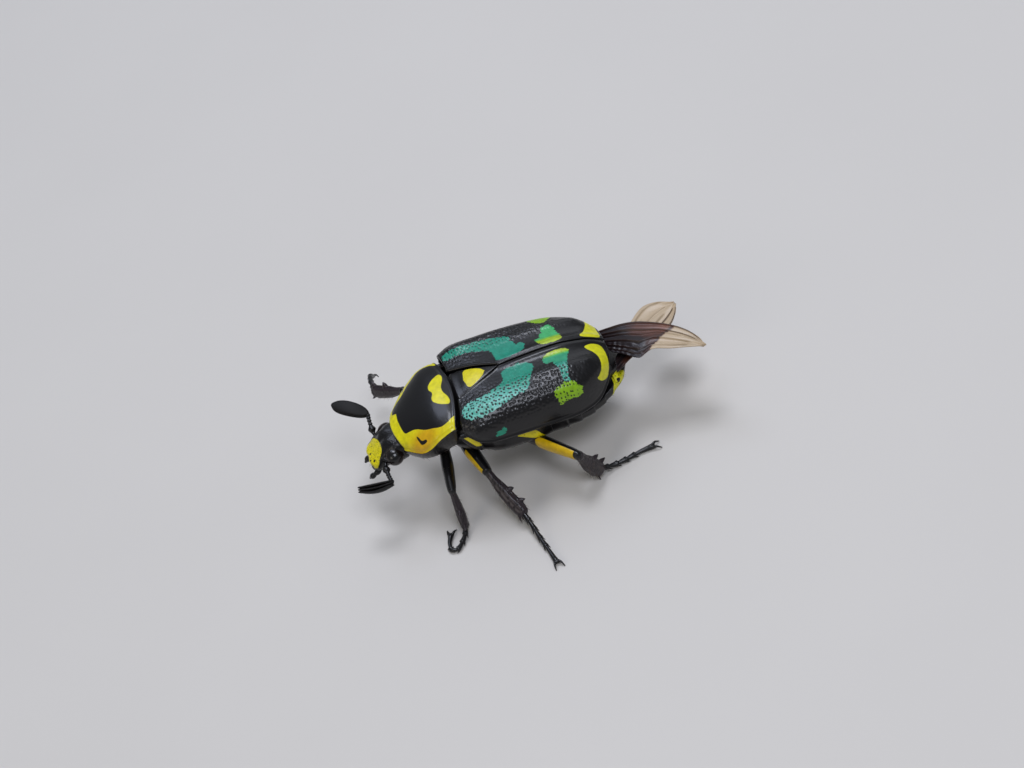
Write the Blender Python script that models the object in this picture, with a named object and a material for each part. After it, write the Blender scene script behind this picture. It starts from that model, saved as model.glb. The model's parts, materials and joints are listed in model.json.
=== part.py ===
"""Chlorobapta frontalis, a flower beetle, as a still life-size museum model.

The beetle stands on the floor at z = 0, its head towards -Y and its left side towards +X.
Sizes are in millimetres and become metres where a mesh is made.
Body coordinates: x across, y along the body from the middle of the pronotum's hind edge, z up.
"""
from math import cos, exp, pi, radians, sin

import bmesh
import bpy
from mathutils import Vector

MM = 0.001

# Driving dimensions
GAP = 0.3
BODY_WIDTH = 11.0
ELYTRA_SQUARENESS = 4.2
SUTURE_RIDGE = 0.14
APEX_ROUNDING = 0.3
PRONOTUM_WIDTH = 8.6
PRONOTUM_FRONT = -5.95
FRONT_CORNER_SET_BACK = 1.6
HIND_CORNER_SET_BACK = 0.8
ELYTRA_BASE = 0.3
ELYTRA_END = 13.0
SHELL = 0.55
SCUTELLUM_LENGTH = 4.0
SCUTELLUM_HALF_WIDTH = 1.75
WAIST = 6.3
BODY_END = 13.8
CLYPEUS_CORNER_SET_BACK = 0.4
EYE_RADIUS = 0.8
EYE_AT = (1.56, -6.5, 6.02)
CLUB_HALF_WIDTH = 0.56
CLUB_HALF_THICKNESS = 0.42
CLUB_BOW = 0.16
WING_THICKNESS = 0.5
VEIN_HEIGHT = 0.14
VEIN_COLUMNS = (0, 2, 5, 8)
SIDE_PLATE = 0.55

# Each profile is a short list of (station along the body, size)
PRONOTUM_HALF = ((0.0, 0.53), (0.06, 0.65), (0.12, 0.765), (0.2, 0.87), (0.3, 0.93), (0.44, 0.975),
                 (0.62, 1.0), (0.87, 0.99), (1.0, 0.97))
PRONOTUM_TOP = ((0.0, 7.7), (0.15, 8.2), (0.4, 8.9), (0.65, 9.4), (0.85, 9.5), (1.0, 9.4))
PRONOTUM_EDGE = ((0.0, 6.8), (0.14, 7.0), (0.26, 7.2), (0.44, 7.6), (0.62, 8.15), (0.87, 8.55), (1.0, 8.6))
PRONOTUM_BELLY = ((0.0, 5.5), (0.2, 4.8), (0.5, 4.4), (1.0, 4.5))

ELYTRA_HALF = ((0.3, 0.9), (1.3, 1.03), (3.2, 1.01), (5.5, 0.99), (8.5, 0.93), (10.3, 0.84),
               (11.6, 0.72), (12.4, 0.59), (13.0, 0.42))
ELYTRA_TOP = ((0.3, 9.45), (2.0, 9.65), (4.5, 9.6), (9.0, 9.35), (11.2, 8.75), (12.2, 8.2), (13.0, 7.5))
ELYTRA_EDGE = ((0.3, 8.0), (1.2, 7.4), (2.8, 6.75), (6.0, 6.2), (9.0, 5.65), (11.0, 5.6), (12.2, 6.1),
               (13.0, 6.8))

# Swellings of each wing case as (height, centre (x, y), reach (x, y)): hollow by the suture, rib, side,
# shoulder and hind corner
ELYTRA_SWELLINGS = ((-0.12, (1.5, 9.5), (0.7, 3.0)), (0.1, (2.7, 8.0), (0.45, 4.0)),
                    (0.26, (4.1, 3.5), (0.85, 3.2)), (0.2, (3.9, 1.4), (0.6, 0.9)),
                    (0.15, (2.8, 11.1), (0.8, 0.8)))

# Trunk in millimetres: half width of the flanks and of the back inside the wing cases
FLANK_HALF = ((-1.5, 2.9), (-0.5, 3.7), (0.6, 4.15), (1.6, 4.75), (3.0, 4.85), (5.0, 4.8), (7.0, 4.6),
              (9.0, 4.35), (10.3, 3.95), (11.6, 3.3), (12.4, 2.8), (13.2, 2.0), (13.8, 0.6))
BACK_HALF = ((-1.5, 2.7), (-0.5, 3.3), (0.6, 3.6), (1.6, 4.2), (3.0, 4.3), (6.3, 4.25), (9.0, 4.0),
             (10.3, 3.6), (11.6, 2.75), (12.4, 2.05), (13.2, 1.35), (13.8, 0.5))
BACK_TOP = ((-1.5, 7.6), (-0.5, 8.0), (0.6, 8.3), (2.0, 8.55), (4.5, 8.5), (9.0, 8.25), (11.0, 7.6),
            (12.0, 6.95), (12.7, 6.3), (13.4, 5.65), (13.8, 5.2))
LEDGE = ((-1.5, 6.9), (0.6, 7.0), (1.6, 6.75), (2.8, 6.35), (6.0, 5.8), (9.0, 5.2), (11.0, 5.15),
         (12.2, 5.45), (13.0, 5.35), (13.8, 5.0))
BELLY = ((-1.5, 4.7), (-0.4, 3.9), (2.0, 3.45), (6.3, 3.4), (9.5, 3.5), (12.0, 3.85), (13.0, 4.2),
         (13.8, 4.75))

# Head from the front edge of the clypeus back to the neck
HEAD_HALF = ((-8.7, 1.35), (-8.55, 1.55), (-8.15, 1.62), (-7.5, 1.55), (-7.1, 1.52), (-6.6, 1.62),
             (-6.2, 1.7), (-5.2, 1.7))
HEAD_TOP = ((-8.7, 5.65), (-8.55, 5.82), (-8.15, 6.1), (-7.6, 6.5), (-7.0, 6.9), (-6.3, 7.2), (-5.2, 7.3))
HEAD_SIDE = ((-8.7, 5.3), (-8.55, 5.35), (-8.15, 5.5), (-7.6, 5.85), (-7.0, 6.15), (-6.3, 6.2), (-5.2, 6.1))
HEAD_BELLY = ((-8.7, 4.95), (-8.55, 4.88), (-8.15, 4.8), (-7.6, 4.62), (-7.0, 4.55), (-6.3, 4.6),
              (-5.2, 4.9))

# Joints of each leg: root in the body, knee, ankle, then the way of the foot
LEGS = {
    "front_left": ((1.4, -2.5, 4.9), (5.75, -3.15, 4.0), (6.7, -3.3, 0.8),
                   ((7.2, -3.5, 0.45), (7.8, -3.9, 0.31), (8.4, -4.45, 0.27), (8.25, -5.0, 0.26),
                    (7.5, -5.0, 0.26), (6.65, -4.7, 0.26))),
    "middle_left": ((1.2, -0.95, 4.6), (5.16, 0.05, 4.0), (8.3, 1.5, 1.3),
                    ((9.6, 1.8, 0.95), (10.95, 2.05, 0.62), (12.4, 2.35, 0.36), (13.9, 2.62, 0.25))),
    "hind_left": ((2.4, 3.75, 3.8), (7.7, 7.45, 4.15), (6.7, 8.5, 0.85),
                  ((6.4, 9.7, 0.42), (6.2, 10.9, 0.28), (6.0, 12.1, 0.26), (5.95, 13.3, 0.25))),
    "front_right": ((-1.4, -2.5, 4.9), (-4.9, -4.1, 6.55), (-7.65, -6.45, 5.2),
                    ((-8.8, -6.55, 5.15), (-9.9, -6.55, 4.8), (-10.8, -6.5, 4.3), (-11.5, -6.45, 3.5))),
    "middle_right": ((-1.2, -0.95, 4.6), (-5.2, 0.3, 5.3), (-8.4, 1.6, 2.3),
                     ((-9.6, 1.85, 1.5), (-10.7, 2.1, 0.85), (-11.9, 2.35, 0.38), (-13.1, 2.55, 0.25))),
    "hind_right": ((-2.3, 3.85, 4.0), (-6.8, 7.2, 5.2), (-8.8, 9.5, 3.1),
                   ((-9.2, 10.1, 2.0), (-9.5, 10.7, 1.1), (-9.75, 11.4, 0.5), (-10.0, 12.2, 0.25))),
}
# Half width and half thickness of femur and tibia, and the foot's half width, for each pair
LEG_SIZES = {"front": (0.66, 0.5, 0.55, 0.38, 0.31),
             "middle": (0.85, 0.6, 0.56, 0.46, 0.31),
             "hind": (0.95, 0.55, 0.66, 0.5, 0.33)}
# Teeth on the outer edge of each tibia as (place along it, length), and the length of its end spurs
TEETH = {"front": ((0.56, 0.3), (0.94, 0.4)), "middle": ((0.52, 0.3), (0.8, 0.4)),
         "hind": ((0.55, 0.35), (0.84, 0.45))}
SPUR_LENGTH = {"front": 0.6, "middle": 0.95, "hind": 0.95}
# Degrees that each tibia is turned about its length, so that its toothed edge faces backwards
TIBIA_TURN = {"front": 0.0, "middle": 70.0, "hind": 80.0}
# Half width of a foot along one joint, from its start to its end, as a share of the foot's half width
JOINT_SWELL = ((0.0, 0.78), (0.5, 0.88), (0.85, 1.0))
FOOT_JOINTS = 5

# Way of each antenna's stalk from the head, the end of its club, and the way its flat side faces
ANTENNAE = {
    "right": (((-1.1, -7.4, 6.0), (-1.85, -7.55, 6.3), (-2.6, -7.5, 6.95), (-3.15, -7.42, 7.45)),
              (-4.9, -9.93, 8.2), (0.35, 0.1, 0.93)),
    "left": (((1.3, -7.25, 5.95), (2.1, -7.5, 5.7), (2.9, -7.5, 5.45), (3.6, -7.4, 5.3)),
             (2.46, -10.24, 4.9), (0.75, 0.2, -0.45)),
}
STALK_BEADS = (0.27, 0.3, 0.34, 0.38, 0.4, 0.38, 0.28, 0.26, 0.36, 0.28, 0.26, 0.35, 0.28, 0.27, 0.34, 0.34)
PALP_WAY = ((0.75, -7.6, 5.0), (1.05, -8.2, 4.75), (1.1, -8.7, 4.55), (1.0, -9.1, 4.3))
PALP_BEADS = (0.25, 0.26, 0.25, 0.27, 0.25, 0.26, 0.2)

# Leading and trailing edge of each hindwing from root to tip, and its height along the body
WINGS = {
    "right": (((-2.5, 12.8), (-2.25, 14.2), (-1.55, 16.1), (0.0, 18.2), (1.7, 19.6), (3.7, 20.3)),
              ((0.2, 13.0), (1.3, 13.8), (2.75, 14.9), (2.4, 16.2), (3.1, 17.7), (3.85, 20.0))),
    "left": (((2.4, 12.9), (1.5, 14.2), (0.6, 16.3), (-0.3, 18.2), (-1.4, 19.1), (-2.6, 19.5)),
             ((0.8, 13.2), (-0.7, 14.2), (-2.7, 15.6), (-3.85, 16.9), (-3.75, 18.2), (-2.95, 19.35))),
}
WING_HEIGHT = {
    "right": ((12.8, 6.5), (13.6, 6.75), (14.6, 7.0), (16.0, 7.05), (18.5, 6.85), (20.3, 6.5)),
    "left": ((12.8, 6.1), (13.4, 6.0), (14.0, 6.0), (16.0, 5.95), (18.5, 6.0), (19.6, 6.1)),
}

# How finely each form is divided
LIMB_SIDES = 8
FOOT_SIDES = 6
RING = 24
SMOOTH_ANGLE = radians(40)

# Colours as linear red, green, blue, with roughness
FINISHES = {
    "black_cuticle": ((0.008, 0.008, 0.01), 0.25),
    "yellow_cuticle": ((0.6, 0.5, 0.01), 0.4),
    "eye_surface": ((0.004, 0.004, 0.005), 0.1),
    "wing_membrane": ((0.12, 0.06, 0.045), 0.3),
}


def clear_scene():
    for item in list(bpy.data.objects):
        bpy.data.objects.remove(item, do_unlink=True)


def profile(knots, at):
    """Smooth value through the knots at a station, held level past both ends."""
    if at <= knots[0][0]:
        return knots[0][1]
    if at >= knots[-1][0]:
        return knots[-1][1]
    slopes = []
    for i in range(len(knots)):
        before = knots[max(i - 1, 0)]
        after = knots[min(i + 1, len(knots) - 1)]
        slopes.append((after[1] - before[1]) / (after[0] - before[0]))
    for i in range(len(knots) - 1):
        (a, va), (b, vb) = knots[i], knots[i + 1]
        if at <= b:
            step = b - a
            t = (at - a) / step
            rise = (2 * t ** 3 - 3 * t ** 2 + 1) * va + (3 * t ** 2 - 2 * t ** 3) * vb
            lean = (t ** 3 - 2 * t ** 2 + t) * slopes[i] + (t ** 3 - t ** 2) * slopes[i + 1]
            return rise + lean * step
    return knots[-1][1]


def signed_power(value, power):
    return abs(value) ** power if value >= 0 else -(abs(value) ** power)


def bump(x, y, centre, reach):
    """Soft round swelling of height one."""
    return exp(-((x - centre[0]) / reach[0]) ** 2 - ((y - centre[1]) / reach[1]) ** 2)


def finish(name):
    """One Principled material for each finish, made once."""
    made = bpy.data.materials.get(name)
    if made:
        return made
    colour, roughness = FINISHES[name]
    made = bpy.data.materials.new(name)
    made.use_nodes = True
    shader = made.node_tree.nodes["Principled BSDF"]
    shader.inputs["Base Color"].default_value = (*colour, 1.0)
    shader.inputs["Roughness"].default_value = roughness
    shader.inputs["Metallic"].default_value = 0.0
    return made


def make_object(name, points, faces, material):
    """An object from points in millimetres, with its faces turned outwards."""
    mesh = bpy.data.meshes.new(name)
    mesh.from_pydata([Vector(p) * MM for p in points], [], faces)
    shell = bmesh.new()
    shell.from_mesh(mesh)
    bmesh.ops.recalc_face_normals(shell, faces=shell.faces)
    if shell.calc_volume(signed=True) < 0:
        bmesh.ops.reverse_faces(shell, faces=shell.faces)
    shell.to_mesh(mesh)
    shell.free()
    mesh.shade_smooth()
    mesh.set_sharp_from_angle(angle=SMOOTH_ANGLE)
    mesh.materials.append(finish(material))
    item = bpy.data.objects.new(name, mesh)
    bpy.context.collection.objects.link(item)
    return item


def loft(name, rings, material, first=None, last=None):
    """A closed skin through rings of equal count, each end drawn to a point."""
    count = len(rings[0])
    points = [p for ring in rings for p in ring]
    faces = []
    for r in range(len(rings) - 1):
        for i in range(count):
            j = (i + 1) % count
            faces.append((r * count + i, r * count + j, (r + 1) * count + j, (r + 1) * count + i))
    for ring_index, pole in ((0, first), (len(rings) - 1, last)):
        ring = rings[ring_index]
        middle = sum((Vector(p) for p in ring), Vector()) / count
        points.append(pole if pole is not None else middle)
        tip = len(points) - 1
        for i in range(count):
            faces.append((ring_index * count + i, ring_index * count + (i + 1) % count, tip))
    return make_object(name, points, faces, material)


def body_ring(y, half, top, side, belly, power=2.4, under=2.2, warp=None):
    """Cross-section of the body: a rounded roof above the side line and a rounded belly below."""
    ring = []
    for i in range(RING):
        angle = 2 * pi * i / RING
        x = half * signed_power(sin(angle), 2 / power)
        lift = cos(angle)
        if lift >= 0:
            z = side + (top - side) * lift ** (2 / power)
        else:
            z = side - (side - belly) * (-lift) ** (2 / under)
        ring.append((x, y if warp is None else warp(x, z), z))
    return ring


def mesh_after(item):
    """The object's mesh with its modifiers applied."""
    graph = bpy.context.evaluated_depsgraph_get()
    return bpy.data.meshes.new_from_object(item.evaluated_get(graph))


def keep_largest(mesh):
    """Keeps the biggest surface of a mesh, and says whether it is closed."""
    shell = bmesh.new()
    shell.from_mesh(mesh)
    left = set(shell.verts)
    islands = []
    while left:
        stack = [left.pop()]
        island = set(stack)
        while stack:
            for edge in stack.pop().link_edges:
                for vert in edge.verts:
                    if vert in left:
                        left.discard(vert)
                        island.add(vert)
                        stack.append(vert)
        islands.append(island)
    islands.sort(key=len)
    for island in islands[:-1]:
        bmesh.ops.delete(shell, geom=list(island), context="VERTS")
    bmesh.ops.triangulate(shell, faces=shell.faces)
    closed = all(edge.is_manifold for edge in shell.edges)
    shell.to_mesh(mesh)
    shell.free()
    return closed


def apply_boolean(item, operation, operand=None, group=None):
    """Applies one Boolean, with the second solver if the first leaves the surface open."""
    change = item.modifiers.new("boolean", "BOOLEAN")
    change.operation = operation
    change.use_self = True
    if group:
        change.operand_type = "COLLECTION"
        change.collection = group
    else:
        change.object = operand
    for solver in ("EXACT", "MANIFOLD"):
        change.solver = solver
        changed = mesh_after(item)
        if keep_largest(changed):
            break
    item.modifiers.clear()
    material = item.data.materials[0]
    changed.materials.clear()
    changed.materials.append(material)
    changed.shade_smooth()
    changed.set_sharp_from_angle(angle=SMOOTH_ANGLE)
    item.data = changed
    return item


def clear_of(item, *others, gap=GAP):
    """Cuts an object back until it faces each neighbour across the gap."""
    for other in others:
        shell = bmesh.new()
        shell.from_mesh(other.data)
        bmesh.ops.remove_doubles(shell, verts=shell.verts, dist=0.002 * MM)
        shell.normal_update()
        moves = [(v, v.normal * gap * MM * min(v.calc_shell_factor(), 1.6)) for v in shell.verts]
        for vert, move in moves:
            vert.co += move
        swollen_mesh = bpy.data.meshes.new("swollen")
        shell.to_mesh(swollen_mesh)
        shell.free()
        swollen = bpy.data.objects.new("swollen", swollen_mesh)
        swollen.hide_render = True
        swollen.display_type = "WIRE"
        bpy.context.collection.objects.link(swollen)
        apply_boolean(item, "DIFFERENCE", operand=swollen)
        bpy.data.objects.remove(swollen, do_unlink=True)
    return item


def fuse(item, extras):
    """Joins closed pieces to an object in one union."""
    group = bpy.data.collections.new("pieces")
    bpy.context.scene.collection.children.link(group)
    for extra in extras:
        bpy.context.collection.objects.unlink(extra)
        group.objects.link(extra)
    apply_boolean(item, "UNION", group=group)
    for extra in extras:
        bpy.data.objects.remove(extra, do_unlink=True)
    bpy.data.collections.remove(group)
    return item


def side_vectors(path, index, hint):
    """Width and thickness directions of a limb at one of its points."""
    before = path[max(index - 1, 0)]
    after = path[min(index + 1, len(path) - 1)]
    along = (after - before).normalized()
    across = along.cross(hint).normalized()
    return along, across, across.cross(along).normalized()


def limb(name, path, sizes, hint, material, sides=LIMB_SIDES, round_ends=True):
    """A bent rod of oval section: sizes are half width and half thickness at each point."""
    path = [Vector(p) for p in path]
    hint = Vector(hint)
    rings = []
    for i, (point, (wide, thick)) in enumerate(zip(path, sizes)):
        along, across, rise = side_vectors(path, i, hint)
        turn = pi / sides
        rings.append([point + across * wide * cos(2 * pi * k / sides + turn)
                      + rise * thick * sin(2 * pi * k / sides + turn) for k in range(sides)])
    reach = 0.6 if round_ends else 0.0
    start = path[0] - (path[1] - path[0]).normalized() * min(sizes[0]) * reach
    end = path[-1] + (path[-1] - path[-2]).normalized() * min(sizes[-1]) * reach
    return loft(name, rings, material, start, end)


def spine(base, tip, radius, sides=5):
    """A tapering spine with a rounded point."""
    base = Vector(base)
    tip = Vector(tip)
    path = [base, base.lerp(tip, 0.45), base.lerp(tip, 0.85)]
    sizes = [(radius * k, radius * k) for k in (1.0, 0.8, 0.35)]
    piece = limb("spine", path, sizes, Vector((0.31, 0.17, 0.93)), "black_cuticle", sides, round_ends=False)
    piece.data.vertices[-1].co = tip * MM
    return piece


def smooth_path(points, steps):
    """Points read from a smooth curve through the given points."""
    points = [Vector(p) for p in points]
    padded = [points[0] * 2 - points[1]] + points + [points[-1] * 2 - points[-2]]
    result = []
    for i in range(1, len(padded) - 2):
        p0, p1, p2, p3 = padded[i - 1:i + 3]
        for k in range(steps):
            t = k / steps
            result.append(0.5 * (2 * p1 + (p2 - p0) * t + (2 * p0 - 5 * p1 + 4 * p2 - p3) * t * t
                                 + (3 * p1 - 3 * p2 + p3 - p0) * t ** 3))
    result.append(points[-1])
    return result


def prothorax():
    """Pronotum with the side pieces and prosternum below it, as one solid."""
    half_width = PRONOTUM_WIDTH / 2
    rings = []
    for t in (0.0, 0.04, 0.12, 0.22, 0.34, 0.48, 0.62, 0.76, 0.88, 0.96, 1.0):
        y = PRONOTUM_FRONT * (1 - t)
        pinch = 0.93 if t in (0.0, 1.0) else 1.0
        half = half_width * profile(PRONOTUM_HALF, t) * pinch
        side = profile(PRONOTUM_EDGE, t)
        top = profile(PRONOTUM_TOP, t)
        belly = profile(PRONOTUM_BELLY, t)

        def warp(x, z, y=y, t=t, side=side):
            corner = (x / half_width) ** 2
            hind = HIND_CORNER_SET_BACK * corner * t ** 2
            below = max(0.0, side - z) * 0.34 * t ** 2
            front = FRONT_CORNER_SET_BACK * corner * (1 - t) ** 3 + max(0.0, side - z) * 0.1 * (1 - t) ** 2
            return y - hind - below + front
        rings.append(body_ring(y, half, top, side, belly, 2.3, 1.3, warp))
    return loft("prothorax", rings, "black_cuticle")


def head(neck):
    """Head capsule with the clypeus drawn out in front, its corners rounded and its middle notched."""
    rings = []
    for y in (-8.7, -8.6, -8.4, -8.15, -7.8, -7.45, -7.1, -6.75, -6.35, -5.9, -5.4):
        def warp(x, z, y=y):
            front = min(max((-7.75 - y) / 0.9, 0.0), 1.0)
            corner = CLYPEUS_CORNER_SET_BACK * (abs(x) / 1.5) ** 3
            return y + front * (0.12 * max(1 - abs(x) / 0.6, 0.0) + corner)
        rings.append(body_ring(y, profile(HEAD_HALF, y), profile(HEAD_TOP, y), profile(HEAD_SIDE, y),
                               profile(HEAD_BELLY, y), 2.8, 2.2, warp))
    return clear_of(loft("head", rings, "black_cuticle"), neck)


def ball(name, centre, radius, material, rows=7, around=12):
    """A round solid with its poles on the x axis."""
    rings = []
    for r in range(1, rows):
        tilt = pi * r / rows
        rings.append([(centre[0] + radius * cos(tilt),
                       centre[1] + radius * sin(tilt) * cos(2 * pi * k / around),
                       centre[2] + radius * sin(tilt) * sin(2 * pi * k / around)) for k in range(around)])
    first = (centre[0] + radius, centre[1], centre[2])
    last = (centre[0] - radius, centre[1], centre[2])
    return loft(name, rings, material, first, last)


def eye(side_name, side, skull, neck):
    item = ball("eye_" + side_name, (side * EYE_AT[0], EYE_AT[1], EYE_AT[2]), EYE_RADIUS, "eye_surface")
    return clear_of(item, skull, neck)


def antenna(side_name, skull, near_eye):
    """Stalk of beads, and the club of three leaves at its end."""
    way, club_end, flat = ANTENNAE[side_name]
    stalk = limb("antenna_stalk_" + side_name, smooth_path(way, 5), [(r, r) for r in STALK_BEADS],
                 (0.2, 0.1, 0.97), "black_cuticle", 7)
    clear_of(stalk, skull, near_eye)
    club = club_solid("antenna_club_" + side_name, Vector(way[-1]), Vector(club_end), Vector(flat))
    clear_of(club, stalk)


def club_solid(name, start, end, flat):
    """Three leaves lying on one another: the seams between them are grooves round the edge."""
    along = (end - start).normalized()
    across = along.cross(flat).normalized()
    rise = across.cross(along).normalized()
    edge = ((0.72, -1.0), (1.0, -0.68), (0.84, -0.34), (1.0, 0.0), (0.84, 0.34), (1.0, 0.68), (0.72, 1.0))
    section = list(edge) + [(-a, b) for a, b in reversed(edge)]
    length = (end - start).length
    rings = []
    for t, grow in ((0.0, 0.45), (0.08, 0.72), (0.22, 0.9), (0.42, 1.0), (0.62, 1.0), (0.8, 0.9),
                    (0.93, 0.66), (0.99, 0.34)):
        bow = rise * CLUB_BOW * sin(pi * t)
        centre = start + along * length * t + bow
        wide, thick = CLUB_HALF_WIDTH * grow, CLUB_HALF_THICKNESS * max(grow, 0.6)
        rings.append([centre + across * a * wide + rise * b * thick for a, b in section])
    return loft(name, rings, "black_cuticle", start - along * 0.05, end)


def palp(side_name, side, skull):
    way = smooth_path([(side * x, y, z) for x, y, z in PALP_WAY], 2)
    item = limb("palp_" + side_name, way, [(r, r) for r in PALP_BEADS], (0.1, 0.2, 0.97), "black_cuticle", 6)
    return clear_of(item, skull)


def elytron_point(side, u, v):
    """Point of the outer face: u runs from the suture to the edge, v from the base to the end."""
    y = ELYTRA_BASE + (ELYTRA_END - ELYTRA_BASE) * v
    half = BODY_WIDTH / 2 * profile(ELYTRA_HALF, y)
    top = profile(ELYTRA_TOP, y)
    edge = profile(ELYTRA_EDGE, y)
    angle = u * pi / 2
    power = 2 / ELYTRA_SQUARENESS
    x = GAP / 2 + (half - GAP / 2) * sin(angle) ** power
    z = edge + (top - edge) * max(cos(angle), 0.0) ** power
    z += SUTURE_RIDGE * exp(-((x - 0.45) / 0.3) ** 2) * min(max((y - 3.5) / 2, 0), 1)
    for height, centre, reach in ELYTRA_SWELLINGS:
        z += height * bump(x, y, centre, reach)
    y -= HIND_CORNER_SET_BACK * (x / (BODY_WIDTH / 2)) ** 2 * (1 - v) ** 5
    y -= APEX_ROUNDING * (x / 2.3) ** 2 * v ** 8
    return Vector((side * x, y, z))


def plate(name, outer, inner, material):
    """A closed plate between two grids of equal size, both split into triangles alike."""
    rows, columns = len(outer), len(outer[0])
    points = [p for row in outer for p in row] + [p for row in inner for p in row]
    count = rows * columns
    faces = []
    for r in range(rows - 1):
        for c in range(columns - 1):
            a, b = r * columns + c, r * columns + c + 1
            d, e = a + columns, b + columns
            for base in (0, count):
                faces += [(a + base, b + base, e + base), (a + base, e + base, d + base)]
    rim = [c for c in range(columns)] + [r * columns + columns - 1 for r in range(1, rows)]
    rim += [(rows - 1) * columns + c for c in range(columns - 2, -1, -1)]
    rim += [r * columns for r in range(rows - 2, 0, -1)]
    for a, b in zip(rim, rim[1:] + rim[:1]):
        faces += [(a, b, b + count), (a, b + count, a + count)]
    return make_object(name, points, faces, material)


def shell_from_grid(name, grid, thickness, material, side):
    """A plate of even thickness from a grid of outer points that runs backwards and outwards."""
    inner = []
    for r, row in enumerate(grid):
        inner_row = []
        for c, point in enumerate(row):
            down = grid[min(r + 1, len(grid) - 1)][c] - grid[max(r - 1, 0)][c]
            over = row[min(c + 1, len(row) - 1)] - row[max(c - 1, 0)]
            inner_row.append(point - over.cross(down).normalized() * side * thickness)
        inner.append(inner_row)
    return plate(name, grid, inner, material)


def elytron(side_name, side, chest_front, wedge):
    grid = [[elytron_point(side, c / 11, r / 19) for c in range(12)] for r in range(20)]
    item = shell_from_grid("elytron_" + side_name, grid, SHELL, "black_cuticle", side)
    clear_of(item, wedge, chest_front)
    return item


def shield_prism(name, rise, depth):
    """Long triangular plate in plan: its top lies a little above the wing cases' profile."""
    outline = []
    for t in (0.0, 0.25, 0.5, 0.75, 0.93):
        width = SCUTELLUM_HALF_WIDTH * (1 - t) ** 0.8
        outline.append((width, ELYTRA_BASE - 0.2 + SCUTELLUM_LENGTH * t))
    outline.append((0.0, ELYTRA_BASE - 0.2 + SCUTELLUM_LENGTH))
    rim = outline + [(-x, y) for x, y in reversed(outline[:-1])]
    points = []
    for x, y in rim:
        top = profile(ELYTRA_TOP, y) - 0.12 * (x / SCUTELLUM_HALF_WIDTH) ** 2
        points.append((x, y, top + rise))
    points += [(x, y, z - depth) for x, y, z in points]
    count = len(rim)
    faces = [(i, (i + 1) % count, (i + 1) % count + count, i + count) for i in range(count)]
    middle_top = profile(ELYTRA_TOP, 1.6) + rise
    points += [(0.0, 1.6, middle_top), (0.0, 1.6, middle_top - depth)]
    for i in range(count):
        j = (i + 1) % count
        faces += [(i, j, 2 * count), (i + count, j + count, 2 * count + 1)]
    return make_object(name, points, faces, "yellow_cuticle")


def scutellum(chest_front):
    """Shield between the wing cases, and the taller wedge that keeps its place open in them."""
    wedge = shield_prism("wedge", 1.0, 2.0)
    wedge.hide_render = True
    wedge.display_type = "WIRE"
    return clear_of(shield_prism("scutellum", 0.0, 0.6), chest_front), wedge


def trunk_ring(y, ridge=0.0):
    """Section of the trunk: a back that lies inside the wing cases, a ledge below them and a full belly."""
    back, flank = profile(BACK_HALF, y), profile(FLANK_HALF, y) + ridge
    top, ledge, belly = profile(BACK_TOP, y), profile(LEDGE, y), profile(BELLY, y) - ridge
    roof = ledge + (top - ledge) * 0.2
    side = []
    for k in range(6):
        angle = k / 5 * pi / 2
        side.append((back * sin(angle) ** (2 / 3), roof + (top - roof) * max(cos(angle), 0.0) ** (2 / 3)))
    side += [(back, ledge + 0.05), (flank, ledge)]
    middle = ledge - (ledge - belly) * 0.25
    for k in range(5):
        angle = k / 4 * pi / 2
        side.append((flank * max(cos(angle), 0.0) ** (2 / 2.2), middle - (middle - belly) * sin(angle)))
    side = [(x, z - coxa_swell(x, y) if z < middle + 0.01 else z) for x, z in side]
    return [(x, y, z) for x, z in side] + [(-x, y, z) for x, z in side[-2:0:-1]]


def coxa_swell(x, y):
    """How far the leg bases and the keel between them stand out below the belly."""
    middle_pair = 0.45 * bump(abs(x), y, (1.5, 0.2), (1.0, 0.8))
    hind_pair = 0.4 * bump(abs(x), y, (2.0, 4.9), (1.9, 0.7))
    keel = 0.35 * bump(x, y, (0.0, 0.3), (0.5, 1.4))
    return middle_pair + hind_pair + keel


def thorax(chest_front):
    stations = (-1.5, -1.0, -0.4, 0.1, 0.7, 1.3, 2.2, 3.2, 4.1, 4.7, 5.2, 5.7, WAIST - GAP / 2)
    item = loft("thorax", [trunk_ring(y) for y in stations], "black_cuticle")
    return clear_of(item, chest_front)


def abdomen_rings():
    """Belly rings stepped like tiles, each overlapping the next."""
    rings = []
    starts = (WAIST + GAP / 2, 7.7, 8.9, 10.1, 11.2, 12.1)
    for start, stop in zip(starts, starts[1:]):
        rings.append(trunk_ring(start, 0.0))
        rings.append(trunk_ring(start + (stop - start) * 0.5, 0.03))
        rings.append(trunk_ring(stop - 0.12, 0.08))
    for y in (12.1, 12.6, 13.1, 13.5, BODY_END):
        rings.append(trunk_ring(y))
    return rings


def cut_plane(item, point, normal):
    """Keeps the part of a solid behind a plane and closes the cut."""
    shell = bmesh.new()
    shell.from_mesh(item.data)
    geometry = shell.verts[:] + shell.edges[:] + shell.faces[:]
    cut = bmesh.ops.bisect_plane(shell, geom=geometry, plane_co=Vector(point) * MM, plane_no=Vector(normal),
                                 clear_outer=True)
    edges = [e for e in cut["geom_cut"] if isinstance(e, bmesh.types.BMEdge)]
    bmesh.ops.contextual_create(shell, geom=edges)
    bmesh.ops.triangulate(shell, faces=shell.faces)
    bmesh.ops.recalc_face_normals(shell, faces=shell.faces)
    shell.to_mesh(item.data)
    shell.free()
    return item


def abdomen_and_tail():
    """Abdomen, and the yellow tail plate that closes it behind."""
    slope = Vector((0.0, 0.86, 0.5)).normalized()
    joint = Vector((0.0, 12.55, 5.2))
    abdomen = loft("abdomen", abdomen_rings(), "black_cuticle")
    cut_plane(abdomen, joint - slope * GAP / 2, slope)
    tail = loft("pygidium", abdomen_rings(), "yellow_cuticle")
    cut_plane(tail, joint + slope * GAP / 2, -slope)
    return abdomen, tail


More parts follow.
